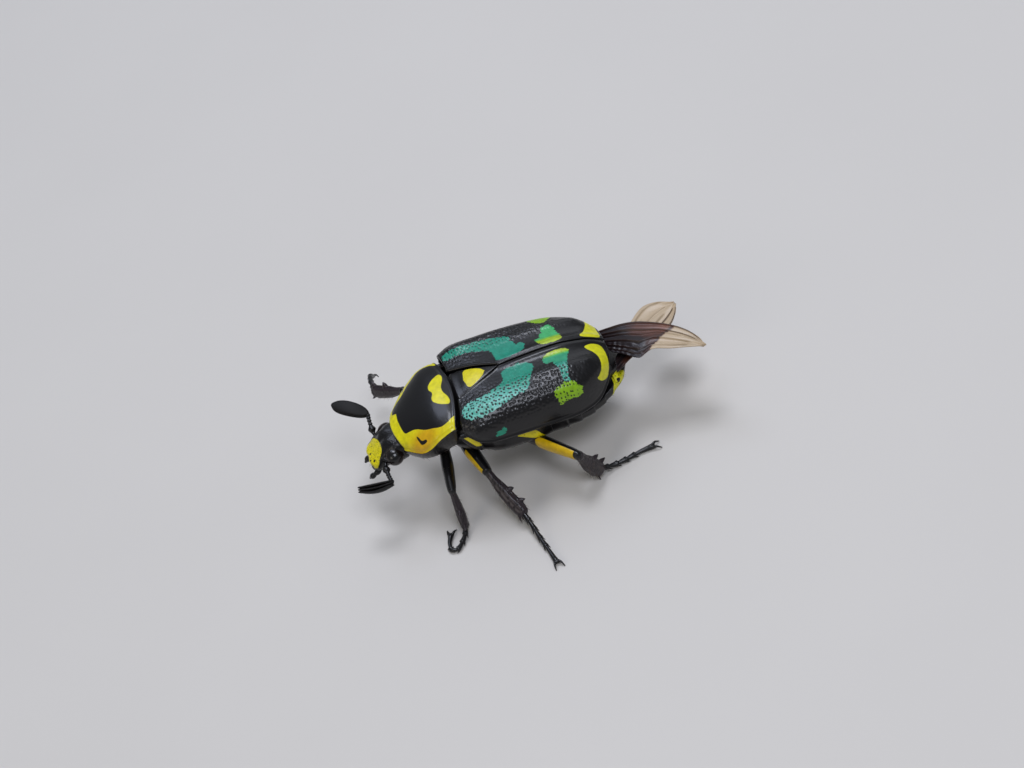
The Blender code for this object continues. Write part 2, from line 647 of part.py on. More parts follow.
def mesepimeron(side_name, side, *neighbours):
    """Three-cornered side plate between the pronotum's hind corner and the shoulder."""
    grid = []
    for r in range(5):
        t = r / 4
        row = []
        for c in range(5):
            u = c / 4
            front = -0.85 + 0.75 * u
            back = 0.55 - 0.2 * u
            x = 4.62 + 0.25 * t - 0.28 * u ** 2
            row.append(Vector((side * x, front + (back - front) * t, 7.95 - 2.1 * u)))
        grid.append(row)
    item = shell_from_grid("mesepimeron_" + side_name, grid, SIDE_PLATE, "yellow_cuticle", side)
    return clear_of(item, *neighbours)


def hindwing(side_name):
    """Folded flying wing that sticks out behind: its main veins are raised lines of the membrane."""
    rows, columns = 16, 10
    lead, trail = (smooth_path([(x, y, 0) for x, y in edge], 4) for edge in WINGS[side_name])
    upper, lower = [], []
    for r in range(rows):
        at = r / (rows - 1) * (len(lead) - 1)
        low = min(int(at), len(lead) - 2)
        front = lead[low].lerp(lead[low + 1], at - low)
        back = trail[low].lerp(trail[low + 1], at - low)
        half = WING_THICKNESS / 2 * min(1.0, 0.5 + 2.5 * (1 - r / (rows - 1)))
        upper_row, lower_row = [], []
        for c in range(columns):
            point = front.lerp(back, c / (columns - 1))
            point.z = profile(WING_HEIGHT[side_name], point.y)
            vein = VEIN_HEIGHT if c in VEIN_COLUMNS and r < rows - 2 else 0.0
            upper_row.append(point + Vector((0, 0, half + vein)))
            lower_row.append(point - Vector((0, 0, half)))
        upper.append(upper_row)
        lower.append(lower_row)
    return plate("hindwing_" + side_name, upper, lower, "wing_membrane")


def leg(name, bodies):
    """Femur, tibia with its teeth and spurs, and the foot with its claws."""
    pair = name.split("_")[0]
    root, knee, ankle, way = LEGS[name]
    root, knee, ankle = Vector(root), Vector(knee), Vector(ankle)
    femur_wide, femur_thick, tibia_wide, tibia_thick, foot_half = LEG_SIZES[pair]
    plane = (knee - root).cross(ankle - knee)
    hint = plane.normalized() if plane.length > 0.2 else Vector((0, 0, 1))
    femur = limb("femur_" + name, [root.lerp(knee, t) for t in (0.0, 0.2, 0.45, 0.7, 0.88, 1.0)],
                 [(femur_wide * k, femur_thick * k) for k in (0.7, 0.9, 1.0, 0.92, 0.78, 0.62)],
                 hint, "black_cuticle")
    clear_of(femur, *bodies)
    along = (ankle - knee).normalized()
    outer = along.cross(hint).normalized()
    if outer.dot((knee - root).normalized()) < 0:
        outer = -outer
    flank = hint if hint.y > 0 else -hint
    turn = radians(TIBIA_TURN[pair])
    outer = outer * cos(turn) + flank * sin(turn)
    hint = outer.cross(along)
    tibia = limb("tibia_" + name, [knee.lerp(ankle, t) for t in (0.0, 0.15, 0.4, 0.65, 0.85, 1.0)],
                 [(tibia_wide * k, tibia_thick * m) for k, m in
                  ((0.6, 0.75), (0.7, 0.8), (0.85, 0.9), (1.0, 1.0), (1.05, 1.0), (0.95, 0.9))],
                 hint, "black_cuticle")
    pieces = []
    for place, length in TEETH[pair]:
        base = knee.lerp(ankle, place) + outer * tibia_wide * 0.5
        pieces.append(spine(base, base + outer * (tibia_wide * 0.5 + length) + along * length * 0.7, 0.3))
    for sway in (-1, 1):
        base = ankle - along * 0.2 - outer * tibia_wide * 0.45 + hint * sway * tibia_thick * 0.4
        pieces.append(spine(base, base + along * SPUR_LENGTH[pair] - outer * 0.3 + hint * sway * 0.12, 0.2))
    fuse(tibia, pieces)
    clear_of(tibia, femur)
    foot = foot_solid(name, ankle, along, way, foot_half)
    clear_of(foot, tibia)
    return femur, tibia, foot


def even_path(points, shares):
    """Points at the given shares of the length of a smooth curve."""
    fine = smooth_path(points, 12)
    reached = [0.0]
    for a, b in zip(fine, fine[1:]):
        reached.append(reached[-1] + (b - a).length)
    result = []
    for share in shares:
        goal = share * reached[-1]
        i = min(sum(1 for r in reached if r < goal), len(fine) - 1)
        i = max(i, 1)
        t = (goal - reached[i - 1]) / (reached[i] - reached[i - 1])
        result.append(fine[i - 1].lerp(fine[i], min(max(t, 0.0), 1.0)))
    return result


def foot_solid(name, ankle, along, way, half):
    """Joints that widen towards their ends, and a pair of curved claws. The foot rests on flats."""
    shares, sizes = [], []
    for joint in range(FOOT_JOINTS):
        for place, swell in JOINT_SWELL:
            shares.append((joint + place) / FOOT_JOINTS)
            sizes.append((half * swell, half * swell))
    shares.append(1.0)
    sizes.append((half * 0.85, half * 0.85))
    path = even_path([ankle - along * 0.1] + [Vector(p) for p in way], shares)
    foot = limb("tarsus_" + name, path, sizes, (0.05, 0.08, 0.99), "black_cuticle", FOOT_SIDES)
    tip = path[-1]
    forward = (path[-1] - path[-2]).normalized()
    aside = forward.cross(Vector((0, 0, 1))).normalized()
    pieces = []
    for sway in (-1, 1):
        base = tip - forward * 0.1 + aside * sway * half * 0.3
        middle = base + forward * 0.45 + aside * sway * 0.22 + Vector((0, 0, 0.06))
        end = middle + forward * 0.28 + aside * sway * 0.08 - Vector((0, 0, 0.2))
        pieces.append(limb("claw", [base, base.lerp(middle, 0.6), middle, end],
                           [(0.17, 0.17), (0.15, 0.15), (0.12, 0.12), (0.05, 0.05)], (0.1, 0.1, 0.98),
                           "black_cuticle", 5))
    fuse(foot, pieces)
    for vert in foot.data.vertices:
        vert.co.z = max(vert.co.z, 0.0)
    foot.data.update()
    return foot


def centre_model():
    """Sets the origin below the middle of the model's box."""
    items = [o for o in bpy.data.objects if o.type == "MESH"]
    corners = [v.co for o in items for v in o.data.vertices]
    middle_x = (min(c.x for c in corners) + max(c.x for c in corners)) / 2
    middle_y = (min(c.y for c in corners) + max(c.y for c in corners)) / 2
    for item in items:
        for vert in item.data.vertices:
            vert.co.x -= middle_x
            vert.co.y -= middle_y


def build():
    clear_scene()
    chest_front = prothorax()
    skull = head(chest_front)
    for side_name, side in (("left", 1), ("right", -1)):
        near_eye = eye(side_name, side, skull, chest_front)
        antenna(side_name, skull, near_eye)
        palp(side_name, side, skull)
    shield, wedge = scutellum(chest_front)
    cases = [elytron(name, side, chest_front, wedge) for name, side in (("left", 1), ("right", -1))]
    bpy.data.objects.remove(wedge, do_unlink=True)
    chest = thorax(chest_front)
    abdomen, tail = abdomen_and_tail()
    plates = {}
    for side_name, side, case in (("left", 1, cases[0]), ("right", -1, cases[1])):
        plates[side_name] = mesepimeron(side_name, side, chest_front, chest, case)
    upper_wing = clear_of(hindwing("right"), *cases, abdomen, tail)
    clear_of(hindwing("left"), upper_wing, *cases, abdomen, tail)
    for name in LEGS:
        leg(name, (chest_front, chest, abdomen, plates[name.split("_")[1]]))
    centre_model()


build()
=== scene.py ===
"""Looks of a flower beetle, Chlorobapta frontalis, as a still life-size museum model.

Every form is worked out in body millimetres: x to the beetle's left, y backwards from the middle of
the pronotum's hind edge, z up from the floor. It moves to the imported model's place as it is finished.
"""

import json
from math import cos, pi, radians, sin

import bmesh
import bpy
import numpy as np
from mathutils import Matrix, Vector

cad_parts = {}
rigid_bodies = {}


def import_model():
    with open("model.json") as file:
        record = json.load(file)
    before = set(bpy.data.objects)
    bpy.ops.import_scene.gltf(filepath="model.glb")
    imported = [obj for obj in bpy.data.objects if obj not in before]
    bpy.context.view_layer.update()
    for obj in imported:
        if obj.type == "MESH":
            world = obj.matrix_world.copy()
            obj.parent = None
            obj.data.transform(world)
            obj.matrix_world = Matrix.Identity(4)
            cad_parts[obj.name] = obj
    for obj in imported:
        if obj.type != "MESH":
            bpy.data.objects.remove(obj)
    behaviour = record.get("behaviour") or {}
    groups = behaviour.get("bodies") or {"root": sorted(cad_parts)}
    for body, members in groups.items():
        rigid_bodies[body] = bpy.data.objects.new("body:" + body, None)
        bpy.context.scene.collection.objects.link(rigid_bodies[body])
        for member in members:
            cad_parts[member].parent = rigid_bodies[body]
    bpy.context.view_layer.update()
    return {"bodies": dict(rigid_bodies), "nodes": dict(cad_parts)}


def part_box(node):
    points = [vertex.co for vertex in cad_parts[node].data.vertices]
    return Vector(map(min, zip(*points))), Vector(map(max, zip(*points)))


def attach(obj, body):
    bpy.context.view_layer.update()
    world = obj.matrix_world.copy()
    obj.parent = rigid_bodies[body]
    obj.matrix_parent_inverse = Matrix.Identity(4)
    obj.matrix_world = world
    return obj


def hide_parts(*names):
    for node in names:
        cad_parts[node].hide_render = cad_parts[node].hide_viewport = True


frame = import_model()

bl_info = {
    "name": "Flower beetle model",
    "version": (1, 0, 0),
    "blender": (4, 5, 0),
    "location": "View3D > Sidebar > Beetle",
    "description": "Builds a life-size flower beetle around its packed solids",
    "category": "Add Mesh",
}

MM = 0.001
CHEST_LOW, CHEST_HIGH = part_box("prothorax")
SHIFT = np.array(((CHEST_LOW.x + CHEST_HIGH.x) / 2 / MM, CHEST_HIGH.y / MM, 0.0))

# Camera: where the photograph was taken from, in degrees and millimetres
VIEW_AZIMUTH, VIEW_ELEVATION, VIEW_ROLL = 91.5, 42.5, 23.3
VIEW_DISTANCE = 220.0
VIEW_TARGET = (0.0, 2.0, 6.9)
VIEW_SLIDE = (2.335, 1.094)
LENS, SENSOR = 94.7, 36.0

# Stage, in metres and watts: each lamp's name, place, size, power and colour
FLOOR_REACH = 3.0
LAMP_AIM = (0.0, 0.0, 0.005)
LAMPS = (
    ("top_softbox", (-0.1, 0.03, 0.33), 0.12, 0.5, "#EEF2FF"),
    ("near_softbox", (0.17, 0.05, 0.29), 0.12, 0.45, "#EEF2FF"),
    ("far_softbox", (-0.2, -0.06, 0.27), 0.11, 0.15, "#DCE6FF"),
    ("side_fill", (0.22, -0.26, 0.2), 0.16, 0.18, "#FFF6EA"),
    ("back_strip", (-0.3, 0.14, 0.22), 0.2, 0.1, "#F2F6FF"),
)
AIR_COLOUR, AIR_STRENGTH = "#DCE2E8", 0.28

# Sizes in millimetres, and profiles as (station along the body, size), the same as the solids'
BODY_WIDTH = 11.0
CASE_SQUARENESS = 4.2
# Squareness of the sections above and below the side margin: 2 is round
PRONOTUM_SQUARENESS, HEAD_SQUARENESS, TRUNK_SQUARENESS = (2.3, 1.3), (2.8, 2.2), (3.0, 2.2)
SUTURE_RIDGE = 0.14
APEX_ROUNDING, APEX_HALF = 0.3, 2.3
CORNER_SET_BACK = 0.8
CASE_BASE, CASE_END = 0.14, 13.0
CASE_THICKNESS = 0.3
PRONOTUM_WIDTH = 8.6
PRONOTUM_FRONT, PRONOTUM_LENGTH, PRONOTUM_LIP = -5.95, 6.3, 0.14
FRONT_CORNER_SET_BACK = 1.6
CLYPEUS_CORNER_SET_BACK = 0.4
SHIELD_LENGTH, SHIELD_HALF, SHIELD_GAP, SHIELD_RIM = 4.0, 1.75, 0.07, 0.12
SIDE_PLATE_THICKNESS, WING_THICKNESS = 0.4, 0.1
WAIST = 6.3
BODY_END = 13.8
EYE_AT, EYE_RADIUS = (1.56, -6.5, 6.02), 0.8
SIDES = (("left", 1), ("right", -1))

PRONOTUM_HALF = ((0.0, 0.53), (0.06, 0.65), (0.12, 0.765), (0.2, 0.87), (0.3, 0.93), (0.44, 0.975),
    (0.62, 1.0), (0.87, 0.99), (1.0, 0.97))
PRONOTUM_TOP = ((0.0, 7.7), (0.15, 8.2), (0.4, 8.9), (0.65, 9.4), (0.85, 9.5), (1.0, 9.4))
PRONOTUM_EDGE = ((0.0, 6.8), (0.14, 7.0), (0.26, 7.2), (0.44, 7.6), (0.62, 8.15), (0.87, 8.55), (1.0, 8.6))
PRONOTUM_BELLY = ((0.0, 5.5), (0.2, 4.8), (0.5, 4.4), (1.0, 4.5))
CASE_HALF = ((0.3, 0.9), (1.3, 1.03), (3.2, 1.01), (5.5, 0.99), (8.5, 0.93), (10.3, 0.84), (11.6, 0.72),
    (12.4, 0.59), (13.0, 0.42))
CASE_TOP = ((0.3, 9.45), (2.0, 9.65), (4.5, 9.6), (9.0, 9.35), (11.2, 8.75), (12.2, 8.2), (13.0, 7.5))
CASE_EDGE = ((0.3, 8.0), (1.2, 7.4), (2.8, 6.75), (6.0, 6.2), (9.0, 5.65), (11.0, 5.6), (12.2, 6.1),
    (13.0, 6.8))
# Height, centre and reach of each swelling: hollow by the suture, rib, side, shoulder and hind corner
CASE_SWELLINGS = ((-0.12, (1.5, 9.5), (0.7, 3.0)), (0.1, (2.7, 8.0), (0.45, 4.0)),
                  (0.26, (4.1, 3.5), (0.85, 3.2)), (0.2, (3.9, 1.4), (0.6, 0.9)),
                  (0.15, (2.8, 11.1), (0.8, 0.8)))
FLANK_HALF = ((-1.5, 2.9), (-0.5, 3.7), (0.6, 4.15), (1.6, 4.75), (3.0, 4.85), (5.0, 4.8), (7.0, 4.6),
    (9.0, 4.35), (10.3, 3.95), (11.6, 3.3), (12.4, 2.8), (13.2, 2.0), (13.8, 0.6))
BACK_HALF = ((-1.5, 2.7), (-0.5, 3.3), (0.6, 3.6), (1.6, 4.2), (3.0, 4.3), (6.3, 4.25), (9.0, 4.0),
    (10.3, 3.6), (11.6, 2.75), (12.4, 2.05), (13.2, 1.35), (13.8, 0.5))
BACK_TOP = ((-1.5, 7.6), (-0.5, 8.0), (0.6, 8.3), (2.0, 8.55), (4.5, 8.5), (9.0, 8.25), (11.0, 7.6),
    (12.0, 6.95), (12.7, 6.3), (13.4, 5.65), (13.8, 5.2))
LEDGE = ((-1.5, 6.9), (0.6, 7.0), (1.6, 6.75), (2.8, 6.35), (6.0, 5.8), (9.0, 5.2), (11.0, 5.15),
    (12.2, 5.45), (13.0, 5.35), (13.8, 5.0))
BELLY = ((-1.5, 4.7), (-0.4, 3.9), (2.0, 3.45), (6.3, 3.4), (9.5, 3.5), (12.0, 3.85), (13.0, 4.2),
    (13.8, 4.75))
HEAD_HALF = ((-8.7, 1.35), (-8.55, 1.55), (-8.15, 1.62), (-7.5, 1.55), (-7.1, 1.52), (-6.6, 1.62),
    (-6.2, 1.7), (-5.2, 1.7))
HEAD_TOP = ((-8.7, 5.65), (-8.55, 5.82), (-8.15, 6.1), (-7.6, 6.5), (-7.0, 6.9), (-6.3, 7.2), (-5.2, 7.3))
HEAD_SIDE = ((-8.7, 5.3), (-8.55, 5.35), (-8.15, 5.5), (-7.6, 5.85), (-7.0, 6.15), (-6.3, 6.2), (-5.2, 6.1))
HEAD_BELLY = ((-8.7, 4.95), (-8.55, 4.88), (-8.15, 4.8), (-7.6, 4.62), (-7.0, 4.55), (-6.3, 4.6),
    (-5.2, 4.9))

# Joint in front of the tail plate: place, way of its normal and half its gap
TAIL_JOINT, TAIL_JOINT_WAY, TAIL_HALF_GAP = (0.0, 12.55, 5.2), (0.0, 0.86, 0.5), 0.03
# Starts of the belly rings, then profiles of the limbs as (share of the length, share of the half size)
BELLY_RING_STARTS = (WAIST - 0.02, 7.7, 8.9, 10.1, 11.2, 12.1)
CLUB_LEAF = ((0.0, 0.38), (0.08, 0.66), (0.22, 0.88), (0.45, 1.0), (0.68, 0.98), (0.85, 0.82), (0.95, 0.55),
    (1.0, 0.3))
FEMUR_WIDE = ((0.0, 0.6), (0.15, 0.85), (0.45, 1.0), (0.7, 0.93), (0.88, 0.76), (1.0, 0.6))
FEMUR_THICK = ((0.0, 0.7), (0.2, 0.9), (0.45, 1.0), (0.7, 0.9), (0.9, 0.8), (1.0, 0.68))
TIBIA_WIDE = ((0.0, 0.55), (0.08, 0.6), (0.2, 0.64), (0.45, 0.92), (0.7, 1.0), (0.92, 1.05), (1.0, 0.9))
TIBIA_THICK = ((0.0, 0.7), (0.15, 0.72), (0.4, 0.88), (0.7, 1.0), (1.0, 0.9))
TARSUS_JOINT = ((0.0, 0.55), (0.25, 0.68), (0.7, 0.86), (0.9, 1.0), (1.0, 0.86))
# Where the joints of the foot end along it, and where the first joint of the antenna ends
TARSUS_ENDS = (0.0, 0.2, 0.37, 0.53, 0.69, 1.0)
SCAPE_END = 0.58
LEAF_LEVELS = (("upper", 0.28), ("middle", 0.0), ("lower", -0.28))

# Joints of each leg: root in the body, knee, ankle, then the way of the foot
LEGS = {
    "front_left": ((1.4, -2.5, 4.9), (5.75, -3.15, 4.0), (6.7, -3.3, 0.8),
                   ((7.2, -3.5, 0.45), (7.8, -3.9, 0.31), (8.4, -4.45, 0.27), (8.25, -5.0, 0.26),
                    (7.5, -5.0, 0.26), (6.65, -4.7, 0.26))),
    "middle_left": ((1.2, -0.95, 4.6), (5.16, 0.05, 4.0), (8.3, 1.5, 1.3),
                    ((9.6, 1.8, 0.95), (10.95, 2.05, 0.62), (12.4, 2.35, 0.36), (13.9, 2.62, 0.25))),
    "hind_left": ((2.4, 3.75, 3.8), (7.7, 7.45, 4.15), (6.7, 8.5, 0.85),
                  ((6.4, 9.7, 0.42), (6.2, 10.9, 0.28), (6.0, 12.1, 0.26), (5.95, 13.3, 0.25))),
    "front_right": ((-1.4, -2.5, 4.9), (-4.9, -4.1, 6.55), (-7.65, -6.45, 5.2),
                    ((-8.8, -6.55, 5.15), (-9.9, -6.55, 4.8), (-10.8, -6.5, 4.3), (-11.5, -6.45, 3.5))),
    "middle_right": ((-1.2, -0.95, 4.6), (-5.2, 0.3, 5.3), (-8.4, 1.6, 2.3),
                     ((-9.6, 1.85, 1.5), (-10.7, 2.1, 0.85), (-11.9, 2.35, 0.38), (-13.1, 2.55, 0.25))),
    "hind_right": ((-2.3, 3.85, 4.0), (-6.8, 7.2, 5.2), (-8.8, 9.5, 3.1),
                   ((-9.2, 10.1, 2.0), (-9.5, 10.7, 1.1), (-9.75, 11.4, 0.5), (-10.0, 12.2, 0.25))),
}
# Half width and half thickness of the femur and of the tibia, and half width of the foot
LEG_SIZES = {"front": (0.66, 0.5, 0.55, 0.38, 0.31),
             "middle": (0.85, 0.6, 0.56, 0.46, 0.31),
             "hind": (0.95, 0.55, 0.66, 0.5, 0.33)}
# Where the teeth stand along the tibia, with their lengths
TEETH = {"front": ((0.56, 0.3), (0.94, 0.4)), "middle": ((0.52, 0.3), (0.8, 0.4)),
         "hind": ((0.55, 0.35), (0.84, 0.45))}
SPUR_LENGTH = {"front": 0.6, "middle": 0.95, "hind": 0.95}
TIBIA_TURN = {"front": 0.0, "middle": 70.0, "hind": 80.0}
# Yellow streak of the femur: the way it faces, its ends along the femur, and how squarely it faces
FEMUR_STREAKS = {"front": ((0.0, -0.3, -0.95), 0.3, 0.6, 0.8), "middle": ((0.0, -0.9, 0.1), 0.4, 1.0, 0.68),
                 "hind": ((0.3, -0.75, 0.1), 0.36, 0.97, 0.12)}
# Way of the stalk, end of the club, and the flat side of its leaves
ANTENNAE = {
    "right": (((-1.1, -7.4, 6.0), (-1.85, -7.55, 6.3), (-2.6, -7.5, 6.95), (-3.15, -7.42, 7.22)),
              (-4.9, -9.93, 7.98), (0.35, 0.1, 0.93)),
    "left": (((1.3, -7.25, 5.95), (2.1, -7.5, 5.7), (2.9, -7.5, 5.45), (3.6, -7.4, 5.3)),
             (2.46, -10.24, 4.9), (0.75, 0.2, -0.45)),
}
BROW_BAR = ((1.35, -7.4, 6.1), (1.65, -7.27, 6.16), (1.95, -7.05, 6.15), (2.2, -6.8, 6.1))
PALP_WAY = ((0.75, -7.6, 5.0), (1.05, -8.2, 4.75), (1.1, -8.7, 4.55), (1.0, -9.1, 4.3))
# Leading and trailing edge as (x, y), and the veins: place across the wing, drift and end along it
WINGS = {
    "right": (((-2.5, 12.8), (-1.9, 14.2), (-1.12, 16.1), (0.35, 18.2), (1.85, 19.55), (3.7, 20.3)),
              ((0.2, 13.0), (1.3, 13.8), (2.75, 14.9), (2.4, 16.2), (3.1, 17.7), (3.85, 20.0))),
    "left": (((2.4, 12.9), (1.5, 14.2), (0.6, 16.3), (-0.3, 18.2), (-1.4, 19.1), (-2.6, 19.5)),
             ((0.8, 13.2), (-0.7, 14.2), (-2.7, 15.6), (-3.85, 16.9), (-3.75, 18.2), (-2.95, 19.35))),
}
WING_VEINS = ((0.015, 0.0, 0.98), (0.2, 0.06, 0.95), (0.3, 0.12, 0.8), (0.55, 0.05, 0.9), (0.72, 0.1, 0.6),
              (0.9, 0.0, 0.9))
WING_HEIGHT = {
    "right": ((12.8, 6.5), (13.6, 6.75), (14.6, 7.0), (16.0, 7.05), (18.5, 6.85), (20.3, 6.5)),
    "left": ((12.8, 6.1), (13.4, 6.0), (14.0, 6.0), (16.0, 5.95), (18.5, 6.0), (19.6, 6.1)),
}

# Outlines of the marks, each on a chart of (arc length outwards from the middle line, y)
# Wing cases: side, place on the colour ramp at the suture and outwards, outline
CASE_MARKS = (
    # long blue-green stripe
    ("left", 0.1, 0.1, ((4.6, 0.6), (4.78, 1.25), (4.7, 1.95), (4.5, 2.7), (4.35, 3.45), (4.1, 4.3),
        (3.9, 4.95), (3.85, 5.45), (3.4, 5.95), (2.75, 6.2), (2.1, 6.5), (1.4, 6.78), (0.82, 6.4),
        (0.65, 5.8), (0.58, 5.05), (0.7, 4.3), (1.15, 4.12), (1.8, 4.08), (2.1, 3.7), (2.4, 3.1),
        (2.62, 2.4), (2.7, 1.65), (2.65, 1.0), (2.85, 0.45), (3.3, 0.1), (4.0, 0.1))),
    ("right", 0.1, 0.1, ((3.55, 0.1), (3.6, 0.8), (3.55, 1.7), (3.45, 2.6), (3.3, 3.7), (3.1, 4.7),
        (2.8, 5.45), (2.45, 5.85), (2.2, 5.75), (1.85, 6.0), (1.5, 6.1), (1.6, 6.45), (1.2, 6.75),
        (0.45, 6.5), (0.25, 5.9), (0.22, 5.0), (0.35, 4.2), (1.1, 4.07), (1.8, 3.85), (2.15, 3.2),
        (2.55, 2.3), (2.75, 1.4), (2.95, 0.1))),
    # hind band, yellower at the suture
    ("left", 0.6, 0.15, ((0.95, 7.75), (0.62, 8.36), (0.6, 9.1), (0.75, 9.85), (1.47, 9.65), (2.3, 9.4),
        (3.0, 9.3), (3.6, 9.1), (4.2, 9.1), (4.2, 8.7), (3.4, 8.6), (2.8, 8.65), (2.35, 8.45), (1.75, 8.3),
        (1.68, 7.72))),
    ("right", 0.57, 0.25, ((0.2, 8.1), (0.88, 7.7), (1.3, 7.75), (1.4, 8.05), (1.65, 8.1), (1.9, 8.4),
        (2.25, 8.4), (2.4, 8.75), (2.55, 8.95), (2.25, 9.3), (1.9, 9.45), (1.3, 9.6), (0.37, 9.8),
        (0.13, 9.35), (0.1, 8.8))),
    # lime patch on the side
    ("left", 0.45, 0.45, ((4.4, 7.85), (4.35, 8.2), (4.12, 8.6), (4.1, 8.95), (4.25, 9.4), (4.55, 9.5),
        (4.65, 9.8), (5.0, 9.76), (5.35, 9.67), (5.7, 9.2), (5.68, 8.7), (5.8, 8.15), (5.95, 7.7),
        (5.5, 7.62), (5.0, 7.5))),
    ("right", 0.45, 0.45, ((3.5, 8.0), (3.1, 8.4), (3.0, 8.9), (3.5, 9.35), (4.4, 9.6), (5.0, 9.3),
        (5.1, 7.9), (4.3, 7.5))),
    # yellow curve at the hind end
    ("left", 0.72, 0.72, ((0.8, 11.2), (0.6, 11.7), (0.6, 12.2), (0.85, 12.5), (1.6, 12.58), (2.3, 12.5),
        (3.1, 12.3), (3.9, 12.0), (4.36, 11.5), (4.2, 11.2), (3.8, 11.43), (3.3, 11.7), (2.55, 11.93),
        (1.95, 11.88), (1.45, 11.62), (1.1, 11.27))),
    ("right", 0.72, 0.72, ((0.15, 11.2), (0.98, 11.6), (2.1, 11.95), (3.0, 11.8), (3.9, 11.4), (4.3, 11.6),
        (3.8, 12.1), (2.5, 12.5), (1.4, 12.6), (0.1, 12.6))),
    # small spot low on the side
    ("both", 0.11, 0.11, ((6.18, 2.8), (6.55, 2.9), (6.8, 2.65), (6.9, 2.0), (6.6, 1.98), (6.4, 2.35))),
)
PRONOTUM_DISC = ((-0.6, -5.24), (0.0, -5.17), (0.5, -5.13), (1.2, -5.06), (1.75, -4.9), (1.97, -4.5),
    (2.25, -3.95), (2.95, -3.22), (3.35, -2.6), (3.68, -1.95), (3.55, -1.25), (3.2, -0.6), (3.15, 0.8),
    (-0.6, 0.8), (-0.6, -4.7))
PRONOTUM_COMMA = ((2.8, -4.1), (3.04, -3.96), (3.3, -3.88), (3.5, -3.76), (3.65, -3.46), (3.84, -3.42),
    (3.83, -3.67), (3.65, -3.94), (3.29, -4.05), (2.96, -4.12))
PRONOTUM_BOW = ((-0.6, -0.78), (0.0, -0.84), (0.45, -0.78), (0.95, -0.58), (1.5, -0.5), (1.85, -0.68),
    (1.65, -1.2), (1.1, -1.75), (0.6, -1.88), (0.0, -1.68), (-0.6, -1.88))
SHIELD_SPOT = ((-0.5, 1.16), (0.5, 1.16), (0.92, 1.26), (1.06, 1.5), (0.82, 2.1), (0.45, 2.65),
    (0.15, 2.85), (-0.15, 2.85))
# Yellow of the clypeus as (x, y)
CLYPEUS_PATCH = ((-1.2, -7.8), (-0.6, -7.45), (0.2, -7.25), (0.9, -7.28), (1.25, -7.55), (1.55, -7.95),
    (1.4, -8.6), (0.6, -8.95), (-0.6, -8.95), (-1.1, -8.6))
CLYPEUS_SPOTS = ((0.1, -8.35, 0.1), (0.75, -8.5, 0.08), (1.05, -8.2, 0.1), (-0.5, -8.1, 0.05))
# Yellow of the hind coxa as (y, z)
COXA_PATCH = ((3.45, 6.0), (3.6, 5.88), (4.1, 5.5), (4.55, 5.15), (5.1, 4.72), (5.5, 4.4), (5.68, 4.5),
    (5.35, 5.2), (5.0, 5.85), (4.65, 6.25), (4.2, 6.4), (3.75, 6.25))
TAIL_SPOT, TAIL_SPOT_RADIUS = (2.5, 12.76, 5.33), 0.2
# Signed distance where there is no mark near, and arc length given to the underside
FAR_OUTSIDE, UNDERSIDE_ARC = -9.0, 9.0
# Width of a speck of painted glint in the painted sheen of the shoulder, and the factors that scatter them
GLINT_SPECK, SPECK_CHANCE = 0.14, (12.9898, 78.233, 43758.5453)


# Small helpers ------------------------------------------------------------------------------------

def linear(hexadecimal):
    """Linear red, green and blue of an sRGB hex colour."""
    parts = [int(hexadecimal[i:i + 2], 16) / 255 for i in (1, 3, 5)]
    return tuple(p / 12.92 if p <= 0.04045 else ((p + 0.055) / 1.055) ** 2.4 for p in parts)


def profile(knots, at):
    """Smooth value through the knots at each station, held level past both ends."""
    stations, values = np.array(knots, float).T
    last = len(stations) - 1
    before = np.maximum(np.arange(last + 1) - 1, 0)
    after = np.minimum(np.arange(last + 1) + 1, last)
    slopes = (values[after] - values[before]) / (stations[after] - stations[before])
    at = np.clip(np.asarray(at, float), stations[0], stations[-1])
    i = np.clip(np.searchsorted(stations, at) - 1, 0, last - 1)
    step = stations[i + 1] - stations[i]
    t = (at - stations[i]) / step
    level = (2 * t ** 3 - 3 * t ** 2 + 1) * values[i] + (3 * t ** 2 - 2 * t ** 3) * values[i + 1]
    return level + ((t ** 3 - 2 * t ** 2 + t) * slopes[i] + (t ** 3 - t ** 2) * slopes[i + 1]) * step


def bump(x, y, centre, reach):
    """Soft round swelling of height one."""
    return np.exp(-((x - centre[0]) / reach[0]) ** 2 - ((y - centre[1]) / reach[1]) ** 2)


def welt(value, at, width):
    """Soft ridge of height one across a value."""
    return np.exp(-((value - at) / width) ** 2)


def squared(values, power):
    """Sines or cosines of a circle drawn out towards a square: a power of 2 leaves them as they are."""
    return np.sign(values) * np.abs(values) ** (2 / power)


def sizes_at(station, *tables):
    return [float(profile(knots, station)) for knots in tables]


def padded(values, count, fill=0.0):
    """The values, with the fill for the points that come after them."""
    return np.concatenate((values, np.full((count - len(values), *values.shape[1:]), fill)))


def step_up(value, low, high):
    """Zero below low, one above high, smooth between."""
    t = np.clip((value - low) / (high - low), 0.0, 1.0)
    return t * t * (3 - 2 * t)


def unit(vectors):
    return vectors / np.maximum(np.linalg.norm(vectors, axis=-1, keepdims=True), 1e-9)


def smooth_curve(points, steps=10, closed=False):
    """Points read from a smooth curve through the given ones."""
    points = np.array(points, float)
    if closed:
        run = np.vstack((points[-1:], points, points[:2]))
    else:
        run = np.vstack((points[0] * 2 - points[1], points, points[-1] * 2 - points[-2]))
    t = (np.arange(steps) / steps)[:, None]
    parts = []
    for p0, p1, p2, p3 in zip(run, run[1:], run[2:], run[3:]):
        parts.append(0.5 * (2 * p1 + (p2 - p0) * t + (2 * p0 - 5 * p1 + 4 * p2 - p3) * t * t
                            + (3 * p1 - 3 * p2 + p3 - p0) * t ** 3))
    return np.vstack(parts if closed else parts + [points[-1:]])


